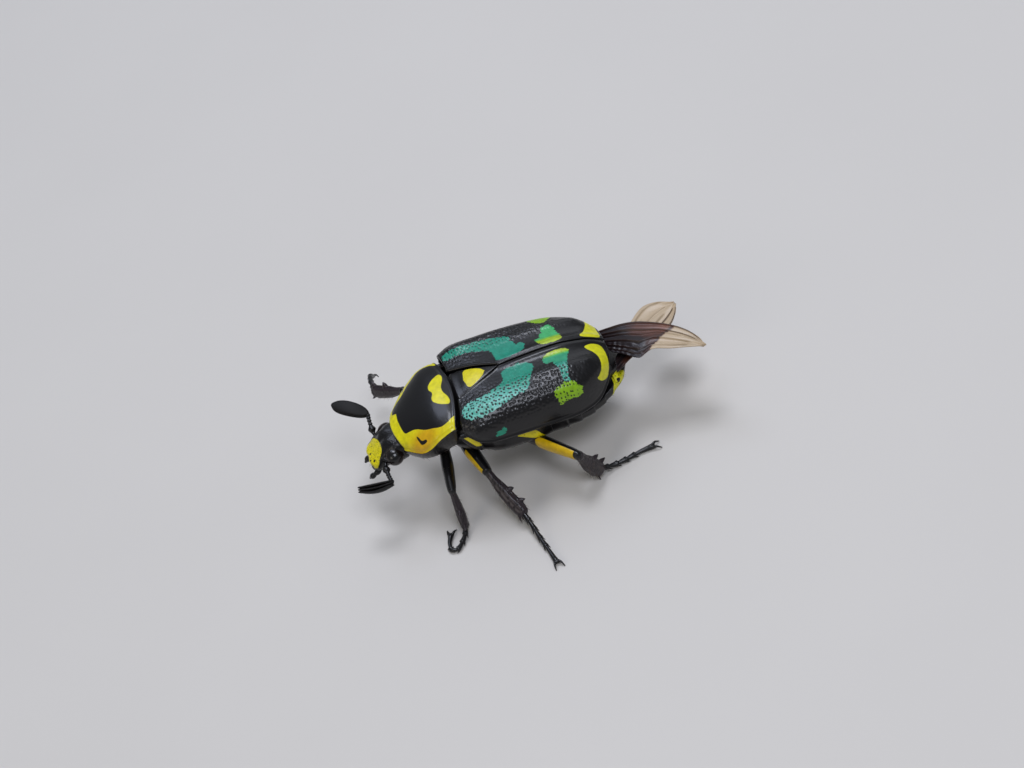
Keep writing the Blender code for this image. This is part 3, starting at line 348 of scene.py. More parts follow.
def arc_lengths(path):
    return np.concatenate(([0.0], np.cumsum(np.linalg.norm(np.diff(path, axis=0), axis=1))))


def resample(path, count):
    """The path with its points an equal way apart."""
    reached = arc_lengths(path)
    goals = np.linspace(0, reached[-1], count)
    return np.stack([np.interp(goals, reached, path[:, k]) for k in range(path.shape[1])], axis=1)


def inside_distance(points, outline):
    """How far each point lies inside a closed outline, negative outside."""
    start = smooth_curve(outline, 4, closed=True)
    end = np.roll(start, -1, axis=0)
    nearest = np.full(len(points), 1e9)
    crossings = np.zeros(len(points), int)
    for a, b in zip(start, end):
        way = b - a
        t = np.clip(((points - a) @ way) / max(way @ way, 1e-12), 0, 1)
        nearest = np.minimum(nearest, np.linalg.norm(points - a - t[:, None] * way, axis=1))
        spans = (a[1] > points[:, 1]) != (b[1] > points[:, 1])
        rise = way[1] if abs(way[1]) > 1e-12 else 1e-12
        crossings += spans & (points[:, 0] < a[0] + (points[:, 1] - a[1]) * way[0] / rise)
    return np.where(crossings % 2 == 1, nearest, -nearest)


def turned_outwards(points, faces):
    """The faces with the inside of the closed skin behind them."""
    volume = 0.0
    for face in faces:
        a = points[face[0]]
        for j in range(1, len(face) - 1):
            b, c = points[face[j]], points[face[j + 1]]
            volume += (a[0] * (b[1] * c[2] - b[2] * c[1]) + a[1] * (b[2] * c[0] - b[0] * c[2])
                       + a[2] * (b[0] * c[1] - b[1] * c[0]))
    return faces if volume > 0 else [tuple(reversed(face)) for face in faces]


def skin(rings):
    """Points and faces of a closed skin through rings of equal count, each end drawn to its middle."""
    rings = np.asarray(rings)
    rows, count = rings.shape[:2]
    points = np.vstack((rings.reshape(-1, 3), rings[0].mean(axis=0), rings[-1].mean(axis=0)))
    faces = []
    for r in range(rows - 1):
        for i in range(count):
            j = (i + 1) % count
            faces.append((r * count + i, r * count + j, (r + 1) * count + j, (r + 1) * count + i))
    for i in range(count):
        j = (i + 1) % count
        faces.append((j, i, rows * count))
        faces.append(((rows - 1) * count + i, (rows - 1) * count + j, rows * count + 1))
    return points, turned_outwards(points, faces)


def grid_normals(grid, upwards):
    """Unit normal at each point of a grid, on the side that the hint points to."""
    down = np.gradient(grid, axis=0)
    over = np.gradient(grid, axis=1)
    normals = unit(np.cross(down, over))
    return normals if (normals.mean(axis=(0, 1)) @ np.array(upwards)) > 0 else -normals


def border(table):
    """The outermost entries of a table, once round."""
    return np.concatenate((table[0, :], table[1:, -1], table[-1, -2::-1], table[-2:0:-1, 0]))


def rounded_plate(grid, thickness, upwards, coarse=1, rim_turns=(45, 90, 135)):
    """Closed plate under a grid of outer points: its rim is a half circle, its inner face coarser."""
    rows, columns = grid.shape[:2]
    normals = grid_normals(grid, upwards)
    index = np.arange(rows * columns).reshape(rows, columns)
    loop = border(index)
    points = grid.reshape(-1, 3)
    flat_normals = normals.reshape(-1, 3)
    along = unit(np.roll(points[loop], -1, axis=0) - np.roll(points[loop], 1, axis=0))
    outwards = unit(np.cross(along, flat_normals[loop]))
    middle = points.mean(axis=0)
    if np.sum((points[loop] - middle) * outwards) < 0:
        outwards = -outwards
    radius = thickness / 2
    layers = [points]
    loops = [loop]
    start = len(points)
    for turn in rim_turns:
        a = radians(turn)
        layers.append(points[loop] + outwards * radius * sin(a) - flat_normals[loop] * radius * (1 - cos(a)))
        loops.append(np.arange(start, start + len(loop)))
        start += len(loop)
    inner = (grid - normals * thickness)[::coarse, ::coarse]
    inner_index = np.arange(start, start + inner.shape[0] * inner.shape[1]).reshape(inner.shape[:2])
    layers.append(inner.reshape(-1, 3))
    faces = []
    for table in (index, inner_index[:, ::-1]):
        a, b, c, d = table[:-1, :-1], table[:-1, 1:], table[1:, 1:], table[1:, :-1]
        faces += np.stack([t.ravel() for t in (d, c, b, a)], axis=1).tolist()
    for upper, lower in zip(loops, loops[1:]):
        n = len(upper)
        faces += [(upper[i], upper[(i + 1) % n], lower[(i + 1) % n], lower[i]) for i in range(n)]
    fine, rough = loops[-1], border(inner_index)
    for m in range(len(rough)):
        near, far = rough[m], rough[(m + 1) % len(rough)]
        half = max(coarse // 2, 1)
        if coarse == 1:
            faces.append((fine[m], fine[(m + 1) % len(fine)], far, near))
            continue
        for k in range(coarse):
            i, j = m * coarse + k, (m * coarse + k + 1) % len(fine)
            if k == half:
                faces.append((fine[i], far, near))
            faces.append((fine[i], fine[j], near if k < half else far))
    points = np.vstack(layers)
    return points, turned_outwards(points, [tuple(int(v) for v in f) for f in faces])


def rod(path, wide, thick, hint, sides=24, flutes=0.0):
    """Closed rod of oval section along a path, with round ends and lengthwise flutes."""
    path = np.asarray(path, float)
    wide = np.broadcast_to(wide, len(path)).astype(float)
    thick = np.broadcast_to(thick, len(path)).astype(float)
    along = unit(np.gradient(path, axis=0))
    across = unit(np.cross(along, np.array(hint, float)))
    rise = np.cross(across, along)
    angle = 2 * pi * np.arange(sides) / sides
    ribs = 1 + flutes * np.cos(6 * angle)
    ring = (across[:, None, :] * (wide[:, None] * np.cos(angle) * ribs)[:, :, None]
            + rise[:, None, :] * (thick[:, None] * np.sin(angle) * ribs)[:, :, None])
    rings = list(path[:, None, :] + ring)
    for end, sign in ((0, -1), (-1, 1)):
        caps = []
        for turn in (25, 50, 72):
            a = radians(turn)
            reach = min(wide[end], thick[end])
            caps.append(path[end] + sign * along[end] * reach * sin(a) + ring[end] * cos(a))
        rings = caps[::-1] + rings if end == 0 else rings + caps
    return skin(rings)


def thorn(base, tip, radius, sides=10, bend=(0.0, 0.0, 0.0)):
    """Tapering spine with a fine point."""
    base, tip = np.array(base, float), np.array(tip, float)
    t = np.linspace(0, 1, 12)[:, None]
    path = base + (tip - base) * t + np.array(bend) * (t * (1 - t) * 4)
    size = radius * (1 - t[:, 0] ** 1.6 * 0.9)
    return rod(path, size, size, (0.31, 0.17, 0.93), sides)


def blob(centre, radii, rows=16, around=24):
    """Ellipsoid with its poles on the x axis."""
    tilt = np.linspace(0.12, pi - 0.12, rows)[:, None]
    turn = 2 * pi * np.arange(around) / around
    local = np.stack((np.broadcast_to(np.cos(tilt), (rows, around)), np.sin(tilt) * np.cos(turn),
                      np.sin(tilt) * np.sin(turn)), axis=-1) * np.array(radii)
    return skin(local + np.array(centre))


def new_object(name, points, faces):
    """Object in body millimetres, before its modifiers are applied."""
    mesh = bpy.data.meshes.new(name)
    mesh.from_pydata(np.asarray(points).tolist(), [], [tuple(int(v) for v in f) for f in faces])
    item = bpy.data.objects.new(name, mesh)
    bpy.context.scene.collection.objects.link(item)
    return item


def coordinates(mesh):
    values = np.empty(len(mesh.vertices) * 3)
    mesh.vertices.foreach_get("co", values)
    return values.reshape(-1, 3)


def vertex_normals(mesh):
    values = np.empty(len(mesh.vertices) * 3, np.float32)
    mesh.vertex_normals.foreach_get("vector", values)
    return values.reshape(-1, 3).astype(float)


def store(item, **layers):
    """Writes numbers or vectors for the points of the mesh, under their names."""
    mesh = item.data
    count = len(mesh.vertices)
    for name, values in layers.items():
        values = np.asarray(values, float)
        if values.ndim < 2:
            mesh.attributes.new(name, "FLOAT", "POINT").data.foreach_set("value", np.ones(count) * values)
        else:
            values = np.hstack((values, np.zeros((count, 3 - values.shape[1]))))
            mesh.attributes.new(name, "FLOAT_VECTOR", "POINT").data.foreach_set("vector", values.ravel())


def apply_modifiers(item):
    """Turns what the modifiers make into the object's own mesh."""
    graph = bpy.context.evaluated_depsgraph_get()
    made = bpy.data.meshes.new_from_object(item.evaluated_get(graph), preserve_all_data_layers=True,
                                           depsgraph=graph)
    item.modifiers.clear()
    old = item.data
    item.data = made
    bpy.data.meshes.remove(old)
    return item


def fused(name, shells, voxel, smoothing):
    """One skin round several closed ones that run into one another."""
    points, faces, start = [], [], 0
    for shell_points, shell_faces in shells:
        points.append(shell_points)
        faces += [tuple(v + start for v in face) for face in shell_faces]
        start += len(shell_points)
    item = new_object(name, np.vstack(points), faces)
    remesh = item.modifiers.new("Fuse", "REMESH")
    remesh.mode = "VOXEL"
    remesh.voxel_size = voxel
    soften = item.modifiers.new("Soften", "SMOOTH")
    soften.factor = 0.5
    soften.iterations = smoothing
    return apply_modifiers(item)


# Node trees ---------------------------------------------------------------------------------------

def wire(tree, node, inputs):
    """Gives a node its inputs: a socket, or a node's first output, is linked, and a constant is set."""
    for key, value in inputs.items():
        if isinstance(value, bpy.types.Node):
            value = value.outputs[0]
        if isinstance(value, bpy.types.NodeSocket):
            tree.links.new(value, node.inputs[key])
        elif node.inputs[key].type == "RGBA":
            node.inputs[key].default_value = (*value, 1.0)
        else:
            node.inputs[key].default_value = value
    return node


def add(tree, kind, inputs=None, **settings):
    """Adds a node with its settings and its inputs."""
    made = tree.nodes.new(kind)
    for key, value in settings.items():
        setattr(made, key, value)
    return wire(tree, made, inputs or {})


def new_tree(name, inputs):
    """Geometry tree with its named inputs' sockets, or None for these where it is made already."""
    old = bpy.data.node_groups.get(name)
    if old:
        return old, None
    tree = bpy.data.node_groups.new(name, "GeometryNodeTree")
    tree.interface.new_socket("Geometry", in_out="INPUT", socket_type="NodeSocketGeometry")
    for label, value in inputs.items():
        kind = "NodeSocketInt" if isinstance(value, int) else "NodeSocketFloat"
        tree.interface.new_socket(label, in_out="INPUT", socket_type=kind).default_value = value
    tree.interface.new_socket("Material", in_out="INPUT", socket_type="NodeSocketMaterial")
    tree.interface.new_socket("Geometry", in_out="OUTPUT", socket_type="NodeSocketGeometry")
    return tree, add(tree, "NodeGroupInput").outputs


def close_tree(tree, last, material_input):
    """Ends a tree: instances become real mesh in the given material."""
    real = add(tree, "GeometryNodeRealizeInstances", {0: last})
    dressed = add(tree, "GeometryNodeSetMaterial", {"Geometry": real, "Material": material_input})
    add(tree, "NodeGroupOutput", {0: dressed})
    return tree


def use_tree(item, tree, **values):
    """Runs a tree on an object, with its inputs set by their identifiers, and keeps the mesh it makes."""
    modifier = item.modifiers.new(tree.name, "NODES")
    modifier.node_group = tree
    for socket in tree.interface.items_tree:
        key = socket.name.lower().replace(" ", "_")
        if socket.in_out == "INPUT" and key in values:
            modifier[socket.identifier] = values[key]
    return apply_modifiers(item)


def puncture_tree():
    """Presses rows of punctures into a skin, where its mask says, and keeps their depth as an attribute."""
    tree, given = new_tree("Punctures", {"Depth": 0.03, "Row spacing": 0.36, "Spacing": 0.27, "Radius": 0.34,
                                         "Jitter": 0.45})
    if given is None:
        return tree
    chart = add(tree, "GeometryNodeInputNamedAttribute", {"Name": "chart"}, data_type="FLOAT_VECTOR")
    mask = add(tree, "GeometryNodeInputNamedAttribute", {"Name": "pit_mask"}, data_type="FLOAT")
    period = add(tree, "ShaderNodeCombineXYZ", {0: given["Row spacing"], 1: given["Spacing"], 2: 1.0})
    cells = add(tree, "ShaderNodeVectorMath", {0: chart, 1: period}, operation="DIVIDE")
    pits = add(tree, "ShaderNodeTexVoronoi", {"Vector": cells, "Scale": 1.0, "Randomness": given["Jitter"]},
               voronoi_dimensions="2D")
    hollow = add(tree, "ShaderNodeMapRange", {0: pits, 2: given["Radius"], 3: 1.0, 4: 0.0},
                 interpolation_type="SMOOTHSTEP")
    pressed = add(tree, "ShaderNodeMath", {0: hollow, 1: mask}, operation="MULTIPLY")
    depth = add(tree, "ShaderNodeMath", {0: pressed, 1: given["Depth"]}, operation="MULTIPLY")
    inwards = add(tree, "ShaderNodeMath", {0: depth, 1: -1.0}, operation="MULTIPLY")
    normal = add(tree, "GeometryNodeInputNormal")
    push = add(tree, "ShaderNodeVectorMath", {0: normal, 3: inwards}, operation="SCALE")
    moved = add(tree, "GeometryNodeSetPosition", {"Geometry": given["Geometry"], "Offset": push})
    kept = add(tree, "GeometryNodeStoreNamedAttribute", {"Name": "pit", "Geometry": moved, "Value": pressed},
               data_type="FLOAT", domain="POINT")
    return close_tree(tree, kept, given["Material"])


def seta_tree():
    """Sets bent, tapering setae on a skin, as many as its hair attribute says."""
    tree, given = new_tree("Setae", {"Density": 10.0, "Length": 0.4, "Thickness": 0.014, "Lean": 0.8,
                                     "Seed": 1})
    if given is None:
        return tree
    hair = add(tree, "GeometryNodeInputNamedAttribute", {"Name": "hair"}, data_type="FLOAT")
    lie = add(tree, "GeometryNodeInputNamedAttribute", {"Name": "lie"}, data_type="FLOAT_VECTOR")
    amount = add(tree, "ShaderNodeMath", {0: hair, 1: given["Density"]}, operation="MULTIPLY")
    lean = add(tree, "ShaderNodeVectorMath", {0: lie, 3: given["Lean"]}, operation="SCALE")
    normal = add(tree, "GeometryNodeInputNormal")
    way = add(tree, "ShaderNodeVectorMath", {0: normal, 1: lean}, operation="ADD")
    marked = add(tree, "GeometryNodeStoreNamedAttribute",
                 {"Name": "way", "Geometry": given["Geometry"], "Value": way},
                 data_type="FLOAT_VECTOR", domain="POINT")
    spread = add(tree, "GeometryNodeDistributePointsOnFaces",
                 {"Mesh": marked, "Density": amount, "Seed": given["Seed"]}, distribute_method="RANDOM")
    kept_way = add(tree, "GeometryNodeInputNamedAttribute", {"Name": "way"}, data_type="FLOAT_VECTOR")
    turn = add(tree, "FunctionNodeAlignRotationToVector", {"Vector": kept_way}, axis="Z")
    cone = add(tree, "GeometryNodeMeshCone",
               {"Vertices": 4, "Side Segments": 3, "Fill Segments": 1, "Radius Top": 0.0,
                "Radius Bottom": given["Thickness"], "Depth": given["Length"]})
    # each seta bends aside by half the square of its height
    place = add(tree, "GeometryNodeInputPosition")
    height = add(tree, "ShaderNodeSeparateXYZ", {0: place}).outputs[2]
    square = add(tree, "ShaderNodeMath", {0: height, 1: 2.0}, operation="POWER")
    curl = add(tree, "ShaderNodeMath", {0: square, 1: 0.5}, operation="MULTIPLY")
    aside = add(tree, "ShaderNodeCombineXYZ", {0: curl})
    bent = add(tree, "GeometryNodeSetPosition", {"Geometry": cone, "Offset": aside})
    size = add(tree, "FunctionNodeRandomValue", {2: 0.55, 3: 1.15}, data_type="FLOAT")
    rooted = add(tree, "GeometryNodeStoreNamedAttribute",
                 {"Name": "root", "Geometry": spread, "Value": place},
                 data_type="FLOAT_VECTOR", domain="POINT")
    planted = add(tree, "GeometryNodeInstanceOnPoints",
                  {"Points": rooted, "Instance": bent, "Rotation": turn, "Scale": size.outputs[1]})
    return close_tree(tree, planted, given["Material"])


# Materials: each recipe gives what goes into its Principled shader --------------------------------

def fill_ramp(ramp, stops):
    """Puts the colours on a ramp at their positions."""
    while len(ramp.elements) < len(stops):
        ramp.elements.new(0.5)
    for element, (position, tone) in zip(ramp.elements, stops):
        element.position = position
        element.color = (*tone, 1.0)


def lacquered_chitin(tree, place, colours):
    """Beetle cuticle: black chitin under a clear waxy layer, with pigment marks let into it.

    The gloss is a smooth coat over a satin ground. Marks are duller than the black, and the
    punctures in them are dark.
    """
    chart, mark, tint, pit = (add(tree, "ShaderNodeAttribute", attribute_name=name).outputs
                              for name in ("chart", "mark", "tint", "pit"))
    # serrated edges of the marks follow the rows of punctures
    stretch = add(tree, "ShaderNodeVectorMath", {0: chart["Vector"], 1: (5.5, 2.2, 1.0)},
                  operation="MULTIPLY")
    ragged = add(tree, "ShaderNodeTexNoise",
                 {"Vector": stretch, "Scale": 1.0, "Detail": 3.0, "Roughness": 0.6}, noise_dimensions="2D")
    centred = add(tree, "ShaderNodeMath", {0: ragged, 1: 0.5}, operation="SUBTRACT")
    # yellow marks have even edges, blue-green and lime ones ragged edges
    reach = add(tree, "ShaderNodeMapRange", {0: tint["Fac"], 1: 0.5, 2: 0.68, 3: 0.42, 4: 0.05})
    edge = add(tree, "ShaderNodeMath", {0: centred, 1: reach, 2: mark["Fac"]}, operation="MULTIPLY_ADD")
    marked = add(tree, "ShaderNodeMapRange", {0: edge, 1: -0.02, 2: 0.03}, interpolation_type="SMOOTHSTEP")
    pigment = add(tree, "ShaderNodeValToRGB", {0: tint["Fac"]})
    # the first stop is painted sheen, a paler blue-green standing in for the glints on the near case's
    # shoulder
    fill_ramp(pigment.color_ramp, (
        (0.0, colours.painted_sheen_teal), (0.1, colours.teal), (0.25, colours.green), (0.45, colours.lime),
        (0.6, colours.pale_green), (0.75, colours.yellow), (0.95, colours.orange), (1.0, colours.shin)))
    # clouding inside the pigment, about 0.4 mm across
    cloud = add(tree, "ShaderNodeTexNoise", {"Vector": place, "Scale": 2400.0, "Detail": 3.0})
    clouded = add(tree, "ShaderNodeMapRange", {0: cloud, 1: 0.3, 2: 0.7, 3: 0.84, 4: 1.12})
    lit = add(tree, "ShaderNodeVectorMath", {0: pigment, 3: clouded}, operation="SCALE")
    dark = add(tree, "ShaderNodeMix", {0: cloud, 6: colours.black, 7: colours.brown_black}, data_type="RGBA")
    unpitted = add(tree, "ShaderNodeMapRange", {0: pit["Fac"], 1: 0.25, 2: 0.55, 3: 1.0, 4: 0.0},
                   interpolation_type="SMOOTHSTEP")
    shown = add(tree, "ShaderNodeMath", {0: marked, 1: unpitted}, operation="MULTIPLY")
    base = add(tree, "ShaderNodeMix", {0: shown, 6: dark.outputs[2], 7: lit}, data_type="RGBA")
    rough = add(tree, "ShaderNodeMapRange", {0: shown, 3: 0.36, 4: 0.46})
    # shagreen of the cuticle, grains about 0.05 mm across
    grain = add(tree, "ShaderNodeTexNoise", {"Vector": place, "Scale": 20000.0, "Detail": 2.0})
    wrinkle = add(tree, "ShaderNodeTexNoise", {"Vector": place, "Scale": 4200.0, "Detail": 3.0})
    relief = add(tree, "ShaderNodeMath", {0: grain, 1: 0.35, 2: wrinkle}, operation="MULTIPLY_ADD")
    dented = add(tree, "ShaderNodeBump", {"Height": relief, "Strength": 0.22, "Distance": 0.02 * MM})
    return {"Base Color": base.outputs[2], "Roughness": rough, "Normal": dented, "IOR": 1.5,
            "Specular IOR Level": 0.3, "Coat Weight": 0.3, "Coat Roughness": 0.16}


def felted_club(tree, place, colours):
    """Leaves of the antennae: felted with fine sensory down, so matt and nearly black."""
    # down of 0.02 mm is drawn 0.06 mm across
    down = add(tree, "ShaderNodeTexNoise", {"Vector": place, "Scale": 16000.0, "Detail": 2.0})
    base = add(tree, "ShaderNodeMix", {0: down, 6: colours.club, 7: [c * 2.2 for c in colours.club]},
               data_type="RGBA")
    dented = add(tree, "ShaderNodeBump", {"Height": down, "Strength": 0.3, "Distance": 0.01 * MM})
    return {"Base Color": base.outputs[2], "Normal": dented, "Roughness": 0.62, "IOR": 1.5,
            "Specular IOR Level": 0.3}


def polished_cornea(tree, place, colours):
    """Compound eye: a smooth black dome, its facets only just breaking the reflection."""
    # facets 0.03 mm across are drawn 0.05 mm across, to show at all
    facets = add(tree, "ShaderNodeTexVoronoi", {"Vector": place, "Scale": 20000.0, "Randomness": 0.2})
    dented = add(tree, "ShaderNodeBump", {"Height": facets, "Strength": 0.12, "Distance": 0.01 * MM})
    # painted sheen: the eye turns brown towards its rim, where its surface turns away from the view
    facing = add(tree, "ShaderNodeLayerWeight", {"Blend": 0.35}).outputs["Facing"]
    base = add(tree, "ShaderNodeMix", {0: facing, 6: colours.eye, 7: colours.eye_rim}, data_type="RGBA")
    return {"Base Color": base.outputs[2], "Normal": dented, "Roughness": 0.26, "IOR": 1.5,
            "Specular IOR Level": 0.4, "Coat Weight": 0.25, "Coat Roughness": 0.1}


def smoky_wing_membrane(tree, place, colours):
    """Flying wing: a smoky membrane stretched between brown veins, dark at its root and pale at its tip."""
    chart = add(tree, "ShaderNodeAttribute", attribute_name="chart").outputs["Vector"]
    vein = add(tree, "ShaderNodeAttribute", attribute_name="vein").outputs["Fac"]
    shade = add(tree, "ShaderNodeSeparateXYZ", {0: chart}).outputs[1]
    blotch = add(tree, "ShaderNodeTexNoise", {"Vector": place, "Scale": 900.0, "Detail": 4.0})
    reach = add(tree, "ShaderNodeMath", {0: blotch, 1: 0.3, 2: shade}, operation="MULTIPLY_ADD")
    fade = add(tree, "ShaderNodeValToRGB", {0: reach})
    fill_ramp(fade.color_ramp, (
        (0.3, colours.wing_root), (0.62, colours.wing_middle), (0.85, colours.wing_tip)))
    base = add(tree, "ShaderNodeMix", {0: vein, 6: fade, 7: colours.wing_vein}, data_type="RGBA")
    # cross wrinkles of the film, about 0.15 mm apart
    wrinkle = add(tree, "ShaderNodeTexNoise",
                  {"Vector": place, "Scale": 6500.0, "Detail": 4.0, "Distortion": 0.6})
    dented = add(tree, "ShaderNodeBump", {"Height": wrinkle, "Strength": 0.3, "Distance": 0.015 * MM})
    return {"Base Color": base.outputs[2], "Normal": dented, "Roughness": 0.38, "IOR": 1.5,
            "Specular IOR Level": 0.4, "Coat Weight": 0.1, "Coat Roughness": 0.25}


def stiff_setae(tree, place, colours):
    """Setae: horn-like bristles, brown and a little glossy, in patches of lighter and darker ones."""
    change = add(tree, "ShaderNodeTexNoise", {"Vector": place, "Scale": 3000.0, "Detail": 2.0})
    lighter = [min(c * 1.8 + 0.01, 1.0) for c in colours.seta]
    base = add(tree, "ShaderNodeMix", {0: change, 6: colours.seta, 7: lighter}, data_type="RGBA")
    return {"Base Color": base.outputs[2], "Roughness": 0.4, "IOR": 1.55}


def matt_studio_paper(tree, place, colours):
    """Seamless studio paper: pale, matt and faintly mottled."""
    mottle = add(tree, "ShaderNodeTexNoise", {"Vector": place, "Scale": 40.0, "Detail": 5.0})
    base = add(tree, "ShaderNodeMix", {0: mottle, 6: [c * 0.95 for c in colours.floor], 7: colours.floor},
               data_type="RGBA")
    return {"Base Color": base.outputs[2], "Roughness": 0.85}


def material(recipe):
    """The material of a recipe, made at the first call and found by its name later."""
    made = bpy.data.materials.get(recipe.__name__)
    if not made:
        made = bpy.data.materials.new(recipe.__name__)
        made.use_nodes = True
        tree = made.node_tree
        place = add(tree, "ShaderNodeTexCoord").outputs["Object"]
        wire(tree, tree.nodes["Principled BSDF"], recipe(tree, place, bpy.context.scene.beetle_colours))
    return made


def punctured(item, **sizes):
    """The piece with punctures pressed into its cuticle: depth and spacings are in millimetres."""
    return use_tree(item, puncture_tree(), material=material(lacquered_chitin), **sizes)


def finish_piece(item, replaced=(), recipe=lacquered_chitin):
    """Puts a finished piece in its place in metres, and says what it rides on and stands for."""
    mesh = item.data
    mesh.vertices.foreach_set("co", ((coordinates(mesh) + SHIFT) * MM).ravel())
    mesh.shade_smooth()
    mesh.update()
    mesh.materials.clear()
    mesh.materials.append(material(recipe))
    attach(item, "root")
    if replaced:
        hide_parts(*replaced)
    return item


# Settings -----------------------------------------------------------------------------------------

def length(name, description, millimetres):
    """Setting that is a length."""
    return bpy.props.FloatProperty(name=name, description=description, default=millimetres * MM, min=0.0,
                                   precision=6, subtype="DISTANCE", unit="LENGTH")


def colour(name, description, hexadecimal):
    """Setting that is a colour."""
    return bpy.props.FloatVectorProperty(name=name, description=description, default=linear(hexadecimal),
                                         size=3, min=0.0, max=1.0, subtype="COLOR")


class BeetleSizes(bpy.types.PropertyGroup):
    """Sizes of the surface detail."""
    pit_depth: length("Puncture depth", "How deep the punctures of the wing cases are", 0.045)
    pit_rows: length("Row spacing", "Distance between the rows of punctures", 0.4)
    pit_spacing: length("Puncture spacing", "Distance between punctures in a row", 0.27)
    seta_length: length("Seta length", "Length of the bristles on the legs", 0.42)
    seta_thickness: length("Seta thickness", "Radius of a bristle where it leaves the skin", 0.014)
    suture_gap: length("Suture gap", "Half the gap between the wing cases", 0.015)


class BeetleColours(bpy.types.PropertyGroup):
    """Colours of the cuticle, wings, eyes and floor."""
    black: colour("Black", "Ground colour of the cuticle", "#08080B")
    brown_black: colour("Brown black", "Warmer places in the black cuticle", "#0C090A")
    yellow: colour("Yellow", "Yellow marks", "#D8D000")
    orange: colour("Deep yellow", "Deepest yellow, on the side of the pronotum", "#CC9A08")
    # painted sheen: a paler blue-green for the glints on the near case's shoulder
    painted_sheen_teal: colour("Blue-green sheen", "Painted sheen and glints on the stripe, on the shoulder", "#72BCAE")
    teal: colour("Blue-green", "Long stripe of the wing cases", "#0E846C")
    green: colour("Green", "Hind band of the wing cases", "#35A45E")
    lime: colour("Lime", "Side patch of the wing cases", "#82AE12")
    pale_green: colour("Yellow-green", "Inner end of the hind band", "#AEC030")
    shin: colour("Shin", "Tibiae", "#251B1F")
    eye: colour("Eye", "Eyes", "#080808")
    # painted sheen at the rim of the eyes
    eye_rim: colour("Eye rim", "Painted brown sheen towards the rim of the eyes", "#2A1710")
    club: colour("Club", "Leaves of the antennae", "#0A0807")
    wing_root: colour("Wing root", "Dark part of the flying wings", "#1C1316")
    wing_middle: colour("Wing middle", "Brown part of the flying wings", "#6A3822")
    wing_tip: colour("Wing tip", "Pale part of the flying wings", "#B8A488")
    wing_vein: colour("Wing vein", "Veins of the flying wings", "#33201A")
    seta: colour("Seta", "Bristles", "#3A2C20")
    floor: colour("Floor", "Studio floor", "#CFCBC5")


# Pieces -------------------------------------------------------------------------------------------

def shield_half(y):
    """Half width of the scutellum at a station."""
    t = np.clip((np.asarray(y, float) - CASE_BASE) / SHIELD_LENGTH, 0.0, 1.0)
    return SHIELD_HALF * (1 - t) ** 0.8


def case_grid(rows=257, columns=161, rim=CASE_THICKNESS / 2):
    """Outer face of the left wing case with even spacing, its chart, and the way to its outer edge."""
    start = rim + bpy.context.scene.beetle_sizes.suture_gap / MM
    # closest readings by the suture and by the side, where the section turns
    w = np.linspace(0, 1, 520)
    angle = (w ** 2.1 / (w ** 2.1 + (1 - w) ** 2.1) * pi / 2)[None, :]
    v = np.linspace(0, 1, rows)[:, None]
    y = CASE_BASE + rim + (CASE_END - CASE_BASE - 2 * rim) * v
    half = BODY_WIDTH / 2 * profile(CASE_HALF, y) - rim
    top, edge = profile(CASE_TOP, y), profile(CASE_EDGE, y)
    x = start + (half - start) * squared(np.sin(angle), CASE_SQUARENESS)
    z = edge + (top - edge) * squared(np.clip(np.cos(angle), 0, 1), CASE_SQUARENESS)
    y = np.broadcast_to(y, x.shape).copy()
    z = z + SUTURE_RIDGE * welt(x, 0.45, 0.3) * np.clip((y - 3.5) / 2, 0, 1)
    for height, centre, reach in CASE_SWELLINGS:
        z = z + height * bump(x, y, centre, reach)
    y = y - CORNER_SET_BACK * (x / (BODY_WIDTH / 2)) ** 2 * (1 - v) ** 5
    y = y - APEX_ROUNDING * (x / APEX_HALF) ** 2 * v ** 8
    grid, chart = np.empty((rows, columns, 3)), np.empty((rows, columns, 2))
    from_edge, from_inner = np.empty((rows, columns)), np.empty((rows, columns))
    for r in range(rows):
        line = np.stack((x[r], y[r], z[r]), axis=1)
        reached = arc_lengths(line)
        beside_shield = y[r, 0] < CASE_BASE + SHIELD_LENGTH
        inner = max(start, float(shield_half(y[r, 0])) + SHIELD_GAP + rim if beside_shield else 0.0)
        first = np.interp(inner, line[:, 0], reached)
        goals = np.linspace(first, reached[-1], columns)
        grid[r] = np.stack([np.interp(goals, reached, line[:, k]) for k in range(3)], axis=1)
        chart[r] = np.stack((goals + start - rim, grid[r, :, 1]), axis=1)
        from_edge[r], from_inner[r] = reached[-1] - goals, goals - first
    # raised rims with a groove inside the outer one
    lift = 0.05 * welt(from_edge, 0.12, 0.09) - 0.03 * welt(from_edge, 0.34, 0.12)
    lift += 0.03 * welt(from_inner, 0.03, 0.08)
    return grid + grid_normals(grid, (0.3, 0, 1)) * lift[..., None], chart, from_edge


def case_tints(chart, side_name):
    """Signed distance to the nearest mark of a wing case, and where its colour lies on the ramp."""
    s, y = chart.T
    best, tint = np.full(len(chart), FAR_OUTSIDE), np.zeros(len(chart))
    for owner, inner, outer, outline in CASE_MARKS:
        if owner in (side_name, "both"):
            depth = inside_distance(chart, outline)
            tint = np.where(depth > best, inner + (outer - inner) * step_up(s, 0.7, 1.25), tint)
            best = np.maximum(best, depth)
    if side_name == "left":
        # painted sheen: on the near (left) case the blue-green is made paler on the shoulder and in the
        # strand behind it, with square specks of painted glints
        shoulder = step_up(s + 0.25 * (4.0 - y), 2.2, 3.6) * (1 - step_up(s, 4.9, 5.4))
        painted_sheen = np.where(y > 7.5, step_up(s, 1.7, 2.5), shoulder)
        across, along = np.floor(s / GLINT_SPECK), np.floor(y / GLINT_SPECK)
        chance = np.sin(across * SPECK_CHANCE[0] + along * SPECK_CHANCE[1]) * SPECK_CHANCE[2]
        painted_sheen = painted_sheen * (0.55 + 0.45 * (chance - np.floor(chance) > 0.45))
        tint = np.where(tint < 0.2, np.maximum(tint - 0.1 * painted_sheen, 0.0), tint)
    return best, tint


